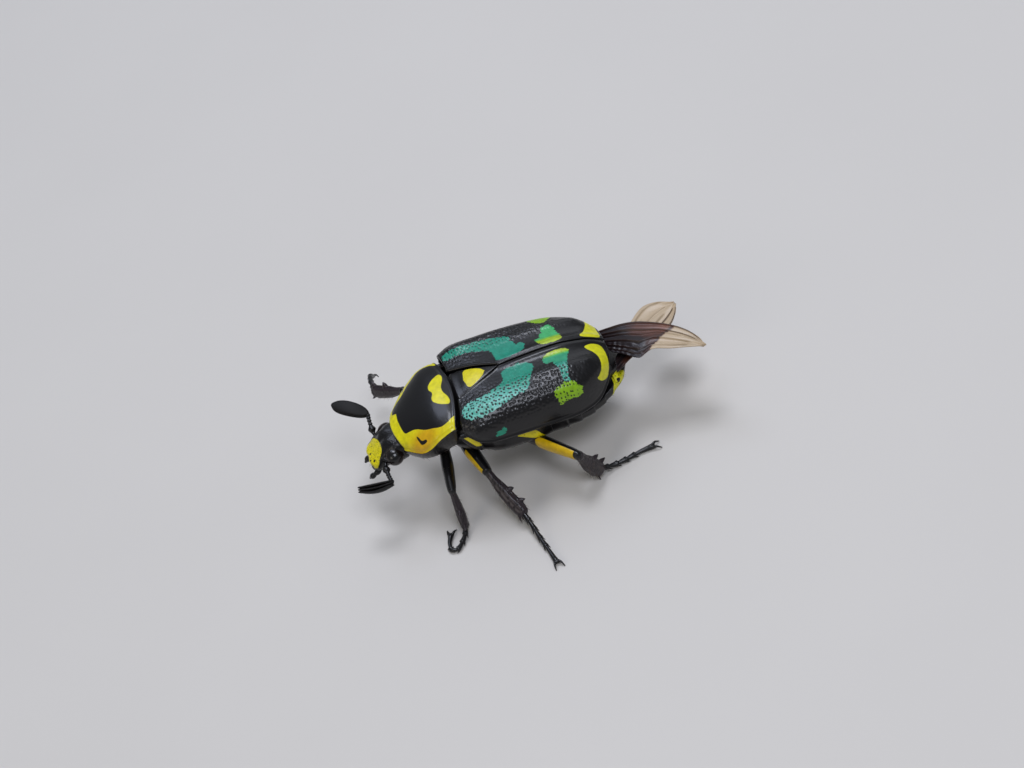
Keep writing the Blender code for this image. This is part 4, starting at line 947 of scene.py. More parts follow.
class BEETLE_OT_wing_cases(bpy.types.Operator):
    """Builds both wing cases, punctured and marked"""
    bl_idname = "beetle.wing_cases"
    bl_label = "Wing cases"

    def execute(self, context):
        sizes = context.scene.beetle_sizes
        grid, chart, from_edge = case_grid()
        flat = chart.reshape(-1, 2)
        s, y = flat.T
        # punctures are strong on the shoulder and in the middle, faint by the suture and behind
        broad = step_up(s, 1.5, 2.7) * (1 - step_up(s, 5.6, 6.4))
        coarse = 0.12 + 0.88 * broad * (1 - 0.75 * step_up(y, 8.8, 10.0))
        coarse *= step_up(from_edge.ravel(), 0.2, 0.4)
        for side_name, side in SIDES:
            mark, tint = case_tints(flat, side_name)
            # they are shallower in the marks, most so in the right case's stripe and in the yellow; the
            # right case's shallower, fainter dark pit dots are painted light, standing in for the weaker
            # glints on that side
            shallow = (0.62 if side < 0 else 1.0) * (1 - 0.6 * step_up(tint, 0.3, 0.6))
            mask = np.where(mark > 0.0, np.maximum(coarse, 0.25) * shallow, coarse)
            points, faces = rounded_plate(grid * (side, 1, 1), CASE_THICKNESS, (side * 0.3, 0, 1), coarse=4)
            item = new_object("wing_case_" + side_name, points, faces)
            count = len(points)
            store(item, chart=padded(flat, count), mark=padded(mark, count, FAR_OUTSIDE),
                  tint=padded(tint, count), pit_mask=padded(mask, count))
            punctured(item, depth=sizes.pit_depth / MM, row_spacing=sizes.pit_rows / MM,
                      spacing=sizes.pit_spacing / MM, radius=0.5, jitter=0.75)
            finish_piece(item, ("elytron_" + side_name,))
        return {"FINISHED"}


class BEETLE_OT_shield(bpy.types.Operator):
    """Builds the scutellum, the shield between the wing cases"""
    bl_idname = "beetle.shield"
    bl_label = "Scutellum"

    def execute(self, context):
        rim = SHIELD_RIM
        t, w = np.linspace(0, 1, 97)[:, None], np.linspace(-1, 1, 81)[None, :]
        y = CASE_BASE + rim + (SHIELD_LENGTH - 2 * rim) * t + 0 * w
        x = w * np.maximum(shield_half(y) - rim, 0.05)
        z = profile(CASE_TOP, y) - 0.12 * (x / SHIELD_HALF) ** 2 - 0.05 - 0.05 * np.abs(w) ** 6
        z = z - 0.05 * bump(x, y, (0.0, 0.6), (1.2, 0.35))
        points, faces = rounded_plate(np.stack((x, y, z), axis=-1), 2 * rim, (0, 0, 1))
        item = new_object("shield_plate", points, faces)
        flat = np.stack((np.abs(points[:, 0]), points[:, 1]), axis=1)
        store(item, chart=flat, mark=inside_distance(flat, SHIELD_SPOT), tint=0.78,
              pit_mask=0.5 * (points[:, 1] < 1.3) + 0.1)
        punctured(item, depth=0.015, row_spacing=0.3, spacing=0.3, radius=0.25, jitter=0.9)
        finish_piece(item, ("scutellum",))
        return {"FINISHED"}


def chest_rings(rows=171, over=220, under=90):
    """Rings of the prothorax, with the arc length from the middle line and from the side margin."""
    rings, arcs, margins = [], [], []
    upper, lower = PRONOTUM_SQUARENESS
    for t in (1 - np.cos(pi * np.linspace(0, 1, rows))) / 2:
        half, side, top, belly = sizes_at(t, PRONOTUM_HALF, PRONOTUM_EDGE, PRONOTUM_TOP, PRONOTUM_BELLY)
        half *= PRONOTUM_WIDTH / 2
        # the front and hind edges are rounded over
        lip = min(t, 1 - t) * PRONOTUM_LENGTH
        tuck = 1 - 0.07 * (1 - min(lip / PRONOTUM_LIP, 1.0)) ** 2
        a, b = np.linspace(-1, 1, 400) * pi / 2, np.linspace(pi / 2, 3 * pi / 2, 200)
        rise = (top - side) * (2 * tuck - 1 if lip < PRONOTUM_LIP else 1.0)
        roof = np.stack((half * tuck * squared(np.sin(a), upper),
                         side + rise * squared(np.clip(np.cos(a), 0, 1), upper)), axis=1)
        floor = np.stack((half * tuck * squared(np.sin(b), upper),
                          side - (side - belly) * squared(np.clip(-np.cos(b), 0, 1), lower)), axis=1)
        roof, floor = resample(roof, over), resample(floor, under)[1:-1]
        x, z = np.vstack((roof, floor)).T
        corner = (x / (PRONOTUM_WIDTH / 2)) ** 2
        low = np.maximum(0.0, side - z)
        front = FRONT_CORNER_SET_BACK * corner * (1 - t) ** 3 + low * 0.1 * (1 - t) ** 2
        y = PRONOTUM_FRONT * (1 - t) - CORNER_SET_BACK * corner * t ** 2 - low * 0.34 * t ** 2 + front
        rings.append(np.stack((x, y, z), axis=1))
        reached = arc_lengths(roof)
        arcs.append(padded(np.abs(reached - reached[-1] / 2), len(x), UNDERSIDE_ARC))
        margins.append(padded(np.minimum(reached, reached[-1] - reached), len(x), -1.0))
    return np.array(rings), np.array(arcs), np.array(margins)


class BEETLE_OT_prothorax(bpy.types.Operator):
    """Builds the pronotum with its margins, and the prosternum below it"""
    bl_idname = "beetle.prothorax"
    bl_label = "Prothorax"

    def execute(self, context):
        rings, arcs, margins = chest_rings()
        points, faces = skin(rings)
        item = new_object("pronotum", points, faces)
        s = padded(arcs.ravel(), len(points), UNDERSIDE_ARC)
        margin = padded(margins.ravel(), len(points), -1.0)
        corner = (points[:, 0] / (PRONOTUM_WIDTH / 2)) ** 2
        hind = -CORNER_SET_BACK * corner - points[:, 1]
        front = points[:, 1] - (PRONOTUM_FRONT + FRONT_CORNER_SET_BACK * corner)
        upper = margin >= 0
        # raised margins with a groove inside them
        lift = np.where(upper, 0.06 * welt(margin, 0.06, 0.09) - 0.03 * welt(margin, 0.3, 0.13), 0.0)
        lift += np.where(upper, 0.03 * welt(hind, 0.12, 0.08) * step_up(hind, 0.0, 0.06), 0.0)
        lift -= np.where(upper, 0.02 * welt(hind, 0.32, 0.12), 0.0)
        points = points + vertex_normals(item.data) * lift[:, None]
        item.data.vertices.foreach_set("co", points.ravel())
        item.data.update()
        x, y = points[:, 0], points[:, 1]
        chart = np.stack((s, y), axis=1)
        # the yellow of the front edge is narrower on the right
        far = step_up(-x, 0.75, 1.15)[:, None]
        disc = inside_distance(chart * (1 - far * np.array((0.05, 0.075))), PRONOTUM_DISC)
        comma, bow = inside_distance(chart, PRONOTUM_COMMA), inside_distance(chart, PRONOTUM_BOW)
        yellow = np.minimum.reduce((-disc, -comma, margin - 0.1, hind - 0.16, front - 0.04))
        mark = np.where(upper, np.maximum(yellow, bow), -1.0)
        deep = np.minimum(1.3 * bump(s, y, (3.6, -3.7), (1.0, 1.5)), 1.0) * (x > 0)
        coarse = np.maximum(step_up(s, 2.9, 4.4) * 0.7, step_up(-front, -1.6, -0.5))
        mask = np.where(upper, 0.12 + 0.88 * coarse, 0.7) * np.where(mark > 0, 0.45, 1.0)
        store(item, chart=chart, mark=mark, tint=0.76 + 0.17 * deep, pit_mask=mask)
        punctured(item, depth=0.022, row_spacing=0.24, spacing=0.24, radius=0.26, jitter=0.95)
        finish_piece(item, ("prothorax",))
        return {"FINISHED"}


def head_rings():
    """Rings of the head capsule from the front edge of the clypeus to the neck."""
    rings = []
    upper, lower = HEAD_SQUARENESS
    for y in np.concatenate((np.linspace(-8.7, -8.45, 12), np.linspace(-8.41, -5.4, 70))):
        half, side, top, belly = sizes_at(y, HEAD_HALF, HEAD_SIDE, HEAD_TOP, HEAD_BELLY)
        a = 2 * pi * np.arange(140) / 140
        x, up = half * squared(np.sin(a), upper), np.cos(a)
        z = np.where(up >= 0, side + (top - side) * squared(np.clip(up, 0, 1), upper),
                     side - (side - belly) * squared(np.clip(-up, 0, 1), lower))
        near = np.abs(x)
        # raised edge of the clypeus, then its hollows, the brow and the groove that parts them
        relief = 0.06 * welt(near, half * 0.9, 0.1) * (y < -7.35)
        relief += 0.06 * welt(y, -8.57, 0.09)
        relief -= 0.05 * bump(near, y, (0.75, -7.95), (0.45, 0.35))
        relief += (0.14 * bump(near, y, (0.65, -6.9), (0.42, 0.55))
                   - 0.04 * bump(x, y, (0.0, -6.9), (0.2, 0.6)))
        relief -= 0.07 * bump(near, y, (0.85, -7.42), (0.35, 0.2))
        relief += 0.05 * bump(near, y, (1.3, -6.3), (0.4, 0.5))
        z = z + relief * ((up >= 0) * np.clip(up, 0, 1) ** 0.4)
        front = min(max((-7.75 - y) / 0.9, 0.0), 1.0)
        back = 0.12 * np.clip(1 - near / 0.6, 0, 1) + CLYPEUS_CORNER_SET_BACK * (near / 1.5) ** 3
        rings.append(np.stack((x, y + front * back, z), axis=1))
    return np.array(rings)


class BEETLE_OT_head(bpy.types.Operator):
    """Builds the head capsule with its clypeus, the eyes and the mouth parts"""
    bl_idname = "beetle.head"
    bl_label = "Head and eyes"

    def execute(self, context):
        shells = [skin(head_rings())]
        for side in (1, -1):
            # bar in front of each eye, the knob that carries the antenna, and the jaw
            bar = smooth_curve(np.array(BROW_BAR) * (side, 1, 1), 8)
            wide, thick = np.linspace(0.2, 0.09, len(bar)), np.linspace(0.12, 0.06, len(bar))
            shells += [rod(bar, wide, thick, (0, 0, 1)), blob((side * 1.35, -7.27, 5.9), (0.28, 0.24, 0.24)),
                       blob((side * 0.55, -7.7, 4.9), (0.45, 0.72, 0.22))]
        shells.append(blob((0.0, -7.3, 4.66), (0.55, 0.8, 0.25)))
        item = fused("head_capsule", shells, voxel=0.032, smoothing=2)
        x, y, z = coordinates(item.data).T
        flat = np.stack((x, y), axis=1)
        patch = inside_distance(flat, CLYPEUS_PATCH)
        for spot_x, spot_y, size in CLYPEUS_SPOTS:
            patch = np.minimum(patch, np.hypot(x - spot_x, y - spot_y) - size)
        store(item, chart=flat, mark=np.minimum(patch, (z - profile(HEAD_SIDE, y)) * 0.6), tint=0.78,
              pit_mask=np.where(vertex_normals(item.data)[:, 2] > 0.0, 0.8, 0.5))
        punctured(item, depth=0.03, row_spacing=0.2, spacing=0.2, radius=0.3, jitter=0.9)
        finish_piece(item, ("head",))
        for side_name, side in SIDES:
            centre = (side * (EYE_AT[0] - 0.02), EYE_AT[1], EYE_AT[2])
            eye = blob(centre, (EYE_RADIUS, EYE_RADIUS * 0.98, EYE_RADIUS * 0.96), rows=60, around=90)
            finish_piece(new_object("compound_eye_" + side_name, *eye), ("eye_" + side_name,),
                         polished_cornea)
        return {"FINISHED"}


class BEETLE_OT_antennae(bpy.types.Operator):
    """Builds the antennae with their three-leaved clubs, and the palps"""
    bl_idname = "beetle.antennae"
    bl_label = "Antennae and palps"

    def execute(self, context):
        for side_name, side in SIDES:
            way, club_end, flat = ANTENNAE[side_name]
            t = np.linspace(0, 1, 150)
            # first joint ends in a round bulb; short beads follow it
            scape = 0.14 + 0.19 * welt(t, 0.44, 0.1)
            beads = 0.12 + 0.075 * np.abs(np.sin(pi * np.clip(t - SCAPE_END, 0, 1) / 0.42 * 4)) ** 0.8
            self.joints("antenna_beads_" + side_name, "antenna_stalk_" + side_name, way,
                        np.where(t < SCAPE_END, scape, beads), (0.2, 0.1, 0.97), 28)
            start, end, flat = np.array(way[-1]), np.array(club_end), np.array(flat, float)
            along = unit(end - start)
            rise = np.cross(unit(np.cross(along, flat)), along)
            reach = np.linalg.norm(end - start)
            u = np.linspace(0.0, 1.0, 70)
            grow = profile(CLUB_LEAF, u)
            for leaf, level in LEAF_LEVELS:
                apart = level * (0.55 + 0.45 * np.sin(pi * np.clip(u, 0.1, 0.9)))
                arch = 0.16 * np.sin(pi * u) + apart
                centre = start + along * (reach * u)[:, None] + rise * arch[:, None]
                blade = rod(centre, 0.56 * grow, 0.135 * np.sqrt(grow), flat, sides=40)
                blade = fused("club_leaf_%s_%s" % (leaf, side_name), [blade], voxel=0.024, smoothing=1)
                self.dress(blade, "antenna_club_" + side_name, felted_club)
            t = np.linspace(0, 1, 90)
            size = 0.17 + 0.08 * np.abs(np.sin(pi * t * 3)) ** 0.8 - 0.06 * step_up(t, 0.85, 1.0)
            self.joints("palp_joints_" + side_name, "palp_" + side_name, np.array(PALP_WAY) * (side, 1, 1),
                        size, (0.1, 0.2, 0.97), 24)
        return {"FINISHED"}

    def joints(self, name, replaced, way, size, hint, sides):
        """Chain of joints along a way: it swells and narrows as the sizes say."""
        path = resample(smooth_curve(way, 20), len(size))
        self.dress(fused(name, [rod(path, size, size, hint, sides)], voxel=0.022, smoothing=1), replaced)

    def dress(self, item, replaced, recipe=lacquered_chitin):
        store(item, chart=coordinates(item.data)[:, :2], mark=-1.0)
        finish_piece(item, (replaced,), recipe)


def trunk_ring(y, step=0.0):
    """Section of the trunk: a back inside the wing cases, a ledge below them, the flanks and the belly."""
    back, flank, top, ledge, belly = sizes_at(y, BACK_HALF, FLANK_HALF, BACK_TOP, LEDGE, BELLY)
    flank, belly = flank + step, belly - step
    roof, middle = ledge + (top - ledge) * 0.2, ledge - (ledge - belly) * 0.25
    a, b = np.linspace(0, pi / 2, 26), np.linspace(0, pi / 2, 44)
    m = np.linspace(0, 1, 8)[1:-1, None]
    upper, lower = TRUNK_SQUARENESS
    arch = roof + (top - roof) * squared(np.clip(np.cos(a), 0, 1), upper)
    half = resample(np.vstack((
        np.stack((back * squared(np.sin(a), upper), arch), 1),
        ((back, ledge + 0.07), (back + 0.05, ledge + 0.03), (flank - 0.05, ledge), (flank, ledge - 0.05)),
        np.array((flank, ledge - 0.05)) + m * np.array((0.0, middle - ledge + 0.05)),
        np.stack((flank * squared(np.clip(np.cos(b), 0, 1), lower),
                  middle - (middle - belly) * np.sin(b)), 1),
    )), 120)
    x, z = half.T
    # hips of the legs, then the furrow along the middle and the joint in front of the hind hips
    swell = (0.45 * bump(x, y, (1.5, 0.2), (1.0, 0.8)) + 0.4 * bump(x, y, (2.0, 4.9), (1.9, 0.7))
             + 0.35 * bump(x, y, (0.0, 0.3), (0.5, 1.4)))
    swell -= 0.08 * welt(x, 0.0, 0.07) * step_up(y, 1.6, 2.1) * (1 - step_up(y, 4.0, 4.4))
    swell -= 0.07 * welt(y + 0.1 * x, 4.1, 0.07) * step_up(x, 0.5, 0.8)
    z = z - swell * (z < middle + 0.01) * step_up(middle - z, 0.0, 0.3)
    left = np.stack((x, np.full(len(x), y), z), axis=1)
    return np.vstack((left, left[-2:0:-1] * (-1, 1, 1)))


def sternite_step(y):
    """Height of the stepped belly rings, each overlapping the next."""
    starts = np.array(BELLY_RING_STARTS)
    i = int(np.clip(np.searchsorted(starts, y, side="right") - 1, 0, len(starts) - 2))
    t = (y - starts[i]) / (starts[i + 1] - starts[i])
    return 0.08 * float(step_up(t, 0.0, 0.85)) * float(1 - step_up(t, 0.94, 1.0)) if y < starts[-1] else 0.0


def trunk_piece(name, rings, replaced, mark, tint, cut=None):
    """Part of the trunk with its marks: a cut gives its place and the side that falls away."""
    item = new_object(name, *skin(rings))
    shell = bmesh.new()
    shell.from_mesh(item.data)
    if cut:
        made = bmesh.ops.bisect_plane(shell, geom=shell.verts[:] + shell.edges[:] + shell.faces[:],
                                      plane_co=cut[0], plane_no=cut[1], clear_outer=True)
        edges = [e for e in made["geom_cut"] if isinstance(e, bmesh.types.BMEdge)]
        bmesh.ops.contextual_create(shell, geom=edges)
    bmesh.ops.triangulate(shell, faces=[f for f in shell.faces if len(f.verts) > 4])
    shell.to_mesh(item.data)
    shell.free()
    points = coordinates(item.data)
    x, y, z = points.T
    chart = np.stack((np.arctan2(z - 6.0, np.abs(x)) * 4.0, y), axis=1)
    store(item, chart=chart, mark=mark(x, y, z), tint=tint, pit_mask=0.8)
    punctured(item, depth=0.02, row_spacing=0.26, spacing=0.26, radius=0.28, jitter=0.9)
    finish_piece(item, (replaced,))


def thorax_marks(x, y, z):
    """Yellow patch on the outer end of each hind coxa."""
    return np.where(np.abs(x) > 3.9, inside_distance(np.stack((y, z), axis=1), COXA_PATCH), -1.0)


def tail_marks(x, y, z):
    """Tail plate: yellow on each side with one dark spot, dark above and in the middle."""
    aside, back, up = TAIL_SPOT
    spot = np.sqrt((np.abs(x) - aside) ** 2 + (y - back) ** 2 + (z - up) ** 2) - TAIL_SPOT_RADIUS
    return np.minimum.reduce((spot, 5.6 - z, np.abs(x) - 1.5))


def belly_marks(x, y, z):
    """Yellow on the sides of the last belly ring, beside the tail plate."""
    return np.minimum.reduce((y - 12.25 + 0.55 * (5.45 - z), np.abs(x) - 2.1, 5.6 - z, z - 4.4))


class BEETLE_OT_trunk(bpy.types.Operator):
    """Builds the hind thorax, abdomen and tail plate, and the side plates"""
    bl_idname = "beetle.trunk"
    bl_label = "Thorax and abdomen"

    def execute(self, context):
        rings = [trunk_ring(y) for y in np.linspace(-1.5, WAIST, 120)]
        trunk_piece("hind_thorax", rings, "thorax", thorax_marks, 0.79)
        rings = [trunk_ring(y, sternite_step(y)) for y in np.linspace(WAIST + 0.005, BODY_END, 150)]
        slope, joint = Vector(TAIL_JOINT_WAY).normalized(), Vector(TAIL_JOINT)
        gap = slope * TAIL_HALF_GAP
        trunk_piece("belly_rings", rings, "abdomen", belly_marks, 0.72,
                    (joint - gap, slope))
        trunk_piece("tail_plate", rings, "pygidium", tail_marks, 0.72,
                    (joint + gap, -slope))
        for side_name, side in SIDES:
            t, u = np.linspace(0, 1, 41)[:, None], np.linspace(0, 1, 41)[None, :]
            front, back = -0.8 + 0.75 * u, 0.5 - 0.2 * u
            x = side * (4.62 + 0.25 * t - 0.28 * u ** 2)
            grid = np.stack((x, front + (back - front) * t, 7.9 - 2.0 * u + 0 * t), axis=-1)
            points, faces = rounded_plate(grid, SIDE_PLATE_THICKNESS, (side, 0, 0.2))
            item = new_object("side_plate_" + side_name, points, faces)
            x, y, z = points.T
            sliver = 0.3 + 0.12 * (z - 7.0) - np.abs(y - 0.02 + 0.36 * (z - 7.3))
            store(item, chart=points[:, 1:], tint=0.8,
                  mark=np.minimum.reduce((sliver, z - 6.45, 7.85 - z, (x * side - 4.5) * 2)))
            finish_piece(item, ("mesepimeron_" + side_name,))
        return {"FINISHED"}


class BEETLE_OT_hindwings(bpy.types.Operator):
    """Builds the folded flying wings with their veins"""
    bl_idname = "beetle.hindwings"
    bl_label = "Flying wings"

    def execute(self, context):
        rows, columns = 200, 120
        t, across = np.linspace(0, 1, rows)[:, None], np.linspace(0, 1, columns)[None, :]
        for side_name in ("right", "left"):
            lead, trail = (resample(smooth_curve(edge, 20), rows) for edge in WINGS[side_name])
            x, y = (lead[:, None, k] * (1 - across) + trail[:, None, k] * across for k in range(2))
            # dark up to a slanting fold, pale beyond it
            fold = 0.66 - 0.16 * across if side_name == "right" else 0.26
            beyond = step_up(t, fold, fold + 0.03)
            veins, drawn = np.zeros((rows, columns)), 0.95 * welt(t, fold - 0.012, 0.018)
            for place, drift, reach in WING_VEINS:
                width = 0.022 if place > 0.1 else 0.035
                vein = welt(across, place + drift * t, width) * (1 - step_up(t, reach - 0.08, reach))
                veins = np.maximum(veins, vein)
                drawn = np.maximum(drawn, vein * (0.9 if place < 0.25 else 0.6 - 0.5 * beyond))
            # pleats along the veins and a crumpled zone by the root
            z = profile(WING_HEIGHT[side_name], y) + 0.13 * veins
            z = z + 0.06 * np.sin(across * 2 * pi * 2.1 + 2.5 * t) * step_up(across, 0.05, 0.2)
            creased = step_up(across, 0.5, 0.7) * (1 - step_up(t, 0.35, 0.55))
            z = z + 0.05 * np.sin(x * 5.0 + 3 * np.sin(y * 2.3)) * np.sin(y * 4.1 + x * 1.7) * creased
            brown = np.clip(0.5 * t / fold - 0.22 * step_up(across, 0.3, 0.55), 0, 1)
            shade = np.where(t < fold, brown, 0.5 + 0.5 * beyond)
            points, faces = rounded_plate(np.stack((x, y, z), axis=-1), WING_THICKNESS, (0, 0, 1),
                                          rim_turns=(60, 120))
            item = new_object("flying_wing_" + side_name, points, faces)
            chart = np.stack((np.broadcast_to(across, x.shape), shade), axis=-1).reshape(-1, 2)
            rim = chart[border(np.arange(rows * columns).reshape(rows, columns))]
            store(item, chart=np.vstack((chart, rim, rim, chart)), vein=padded(drawn.ravel(), len(points)))
            finish_piece(item, ("hindwing_" + side_name,), smoky_wing_membrane)
        return {"FINISHED"}


def leg_frame(name):
    """Joints of a leg, the normal of its plane, the way of its tibia and the tibia's outer side."""
    root, knee, ankle = (np.array(p, float) for p in LEGS[name][:3])
    plane = np.cross(knee - root, ankle - knee)
    size = np.linalg.norm(plane)
    hint = plane / size if size > 0.2 else np.array((0.0, 0.0, 1.0))
    along = unit(ankle - knee)
    outer = unit(np.cross(along, hint))
    if outer @ (knee - root) < 0:
        outer = -outer
    flank = hint if hint[1] > 0 else -hint
    turn = radians(TIBIA_TURN[name.split("_")[0]])
    return root, knee, ankle, LEGS[name][3], hint, along, outer * cos(turn) + flank * sin(turn)


def shin_shells(pair, knee, ankle, along, outer):
    """Tibia that widens to its end, with teeth on its outer edge, two spurs and a crown of short spines."""
    wide_half, thick_half = LEG_SIZES[pair][2:4]
    t = np.linspace(0, 1, 60)
    hint = np.cross(outer, along)
    path = knee + (ankle - knee) * t[:, None] - outer * (0.07 * np.sin(pi * t))[:, None]
    wide, thick = wide_half * profile(TIBIA_WIDE, t), thick_half * profile(TIBIA_THICK, t)
    shells = [rod(path, wide, thick, hint, sides=36, flutes=0.06), blob(knee, (thick_half * 0.82,) * 3)]
    for place, size in TEETH[pair]:
        base = knee + (ankle - knee) * place + outer * wide_half * 0.45
        tip = base + outer * (wide_half * 0.5 + size) + along * size * 0.7
        shells.append(thorn(base, tip, radius=0.27, sides=14, bend=outer * 0.05))
    for sway in (-1, 1):
        base = ankle - along * 0.2 - outer * wide_half * 0.45 + hint * sway * thick_half * 0.4
        tip = base + along * SPUR_LENGTH[pair] - outer * 0.3 + hint * sway * 0.12
        shells.append(thorn(base, tip, radius=0.13, sides=12, bend=-outer * 0.05))
    for turn in np.linspace(0, 2 * pi, 9)[:-1]:
        around = outer * cos(turn) * wide_half * 0.8 + hint * sin(turn) * thick_half * 0.75
        base = ankle - along * 0.05 + around
        shells.append(thorn(base, base + along * 0.28 + around * 0.25, radius=0.06, sides=8))
    return shells


def foot_shells(ankle, along, way, half):
    """Five joints that widen towards their ends, each with a pair of spines, and two curved claws."""
    path = resample(smooth_curve([ankle - along * 0.1] + [np.array(p, float) for p in way], 14), 260)
    t = np.linspace(0, 1, 260)
    ends = np.array(TARSUS_ENDS)
    joint = np.clip(np.searchsorted(ends, t, side="right") - 1, 0, 4)
    inner = (t - ends[joint]) / (ends[joint + 1] - ends[joint])
    size = half * (0.86 - 0.1 * t) * profile(TARSUS_JOINT, inner)
    shells = [rod(path, size, size * 0.92, (0.05, 0.08, 0.99))]
    for end in ends[1:-1]:
        i = int(end * 259) - 3
        forward = unit(path[i + 3] - path[i - 3])
        aside = unit(np.cross(forward, (0, 0, 1)))
        for sway in (-1, 1):
            base = path[i] + aside * sway * half * 0.6 - np.array((0, 0, half * 0.35))
            tip = base + forward * 0.3 + aside * sway * 0.1
            tip[2] = max(tip[2] - 0.05, 0.03)
            shells.append(thorn(base, tip, radius=0.055))
    forward = unit(path[-1] - path[-6])
    aside = unit(np.cross(forward, (0, 0, 1)))
    for sway in (-1, 1):
        base = path[-1] - forward * 0.1 + aside * sway * half * 0.3
        middle = base + forward * 0.45 + aside * sway * 0.22 + np.array((0, 0, 0.06))
        end = middle + forward * 0.28 + aside * sway * 0.08 - np.array((0, 0, 0.2))
        claw = smooth_curve((base, base * 0.4 + middle * 0.6 + (0, 0, 0.04), middle, end), 8)
        size = np.linspace(0.15, 0.045, len(claw))
        shells.append(rod(claw, size, size, (0.1, 0.1, 0.98), sides=14))
    return shells


class BEETLE_OT_legs(bpy.types.Operator):
    """Builds the femora, tibiae with their teeth and spurs, and the feet with their claws"""
    bl_idname = "beetle.legs"
    bl_label = "Legs"

    def execute(self, context):
        t = np.linspace(0, 1, 60)
        for name in LEGS:
            pair = name.split("_")[0]
            root, knee, ankle, way, hint, along, outer = leg_frame(name)
            wide, thick = LEG_SIZES[pair][:2]
            path = root + (knee - root) * t[:, None]
            femur = fused("thigh_" + name, [
                rod(path, wide * profile(FEMUR_WIDE, t), thick * profile(FEMUR_THICK, t), hint, sides=36),
                blob(root + (knee - root) * 0.06, (thick * 0.95,) * 3)], voxel=0.035, smoothing=2)
            self.dress(femur, pits=0.5, mark=self.femur_streak(femur, pair, root, knee), tint=0.9)
            finish_piece(femur, ("femur_" + name,))
            shells = shin_shells(pair, knee, ankle, along, outer)
            tibia = fused("shin_" + name, shells, voxel=0.033, smoothing=2)
            self.dress(tibia, pits=0.9, mark=1.0, tint=1.0)
            punctured(tibia, depth=0.03, row_spacing=0.28, spacing=0.4, radius=0.34, jitter=0.8)
            finish_piece(tibia, ("tibia_" + name,))
            shells = foot_shells(ankle, along, way, LEG_SIZES[pair][4])
            foot = fused("foot_" + name, shells, voxel=0.027, smoothing=1)
            points = coordinates(foot.data)
            points[:, 2] = np.maximum(points[:, 2], 0.0)
            foot.data.vertices.foreach_set("co", points.ravel())
            self.dress(foot, pits=0.0, mark=-1.0, tint=0.0)
            finish_piece(foot, ("tarsus_" + name,))
        return {"FINISHED"}

    def dress(self, item, pits, mark, tint):
        x, y, z = coordinates(item.data).T
        store(item, chart=np.stack((x + z, y - z), axis=1), mark=mark, tint=tint, pit_mask=pits)

    def femur_streak(self, item, pair, root, knee):
        """Signed distance to the yellow streak on the front and lower face of the femur."""
        way, first, last, edge = FEMUR_STREAKS[pair]
        way = np.array(way) * (np.sign(knee[0]), 1, 1)
        along = knee - root
        t = (coordinates(item.data) - root) @ along / (along @ along)
        facing = vertex_normals(item.data) @ unit(way - unit(along) * (way @ unit(along)))
        reach = np.linalg.norm(along)
        return np.minimum.reduce(((t - first) * reach, (last - t) * reach, (facing - edge) * 0.8))


def unwrapped(roots, index, count):
    """Places on an unwrap round the long axis of one skin, in its own tile of the unit square."""
    tiles = int(np.ceil(np.sqrt(count)))
    middle = roots.mean(axis=0)
    axes = np.linalg.svd(roots - middle, full_matrices=False)[2]
    local = (roots - middle) @ axes.T
    along = (local[:, 0] - local[:, 0].min()) / max(np.ptp(local[:, 0]), 1e-6)
    around = np.arctan2(local[:, 2], local[:, 1]) / (2 * pi) + 0.5
    corner = np.array((index % tiles, index // tiles))
    return (corner + 0.03 + 0.94 * np.stack((along, around), axis=1)) / tiles


def bristle(name, sources, density, length_mm, lean, seed):
    """Setae on copies of finished pieces: sources are (piece, how hairy its points are, how they lie)."""
    thickness = bpy.context.scene.beetle_sizes.seta_thickness / MM
    points, faces, places, start = [], [], [], 0
    for index, (piece, hair, lie) in enumerate(sources):
        skin_points = coordinates(piece.data) / MM - SHIFT
        item = bpy.data.objects.new(name + "_source", piece.data.copy())
        item.data.vertices.foreach_set("co", skin_points.ravel())
        item.data.update()
        bpy.context.scene.collection.objects.link(item)
        hairy = hair(skin_points, vertex_normals(item.data))
        store(item, hair=hairy, lie=np.tile(lie, (len(skin_points), 1)))
        use_tree(item, seta_tree(), density=density, length=length_mm, lean=lean, seed=seed + index,
                 thickness=thickness, material=material(stiff_setae))
        mesh = item.data
        points.append(coordinates(mesh))
        faces += [tuple(v + start for v in p.vertices) for p in mesh.polygons]
        start += len(mesh.vertices)
        root = np.empty(len(mesh.vertices) * 3)
        mesh.attributes["root"].data.foreach_get("vector", root)
        places.append(unwrapped(root.reshape(-1, 3), index, len(sources)))
        bpy.data.objects.remove(item, do_unlink=True)
        bpy.data.meshes.remove(mesh)
    points = np.vstack(points)
    points[:, 2] = np.maximum(points[:, 2], 0.0)
    made = new_object(name, points, faces)
    corners = np.empty(len(made.data.loops), int)
    made.data.loops.foreach_get("vertex_index", corners)
    # each seta is a small patch round its root's place
    turn = np.arange(len(points)) * 2.4
    patch = np.vstack(places) + 0.0015 * np.stack((np.cos(turn), np.sin(turn)), axis=1)
    made.data.uv_layers.new(name="OFBake").data.foreach_set("uv", patch[corners].ravel())
    finish_piece(made, (), stiff_setae)


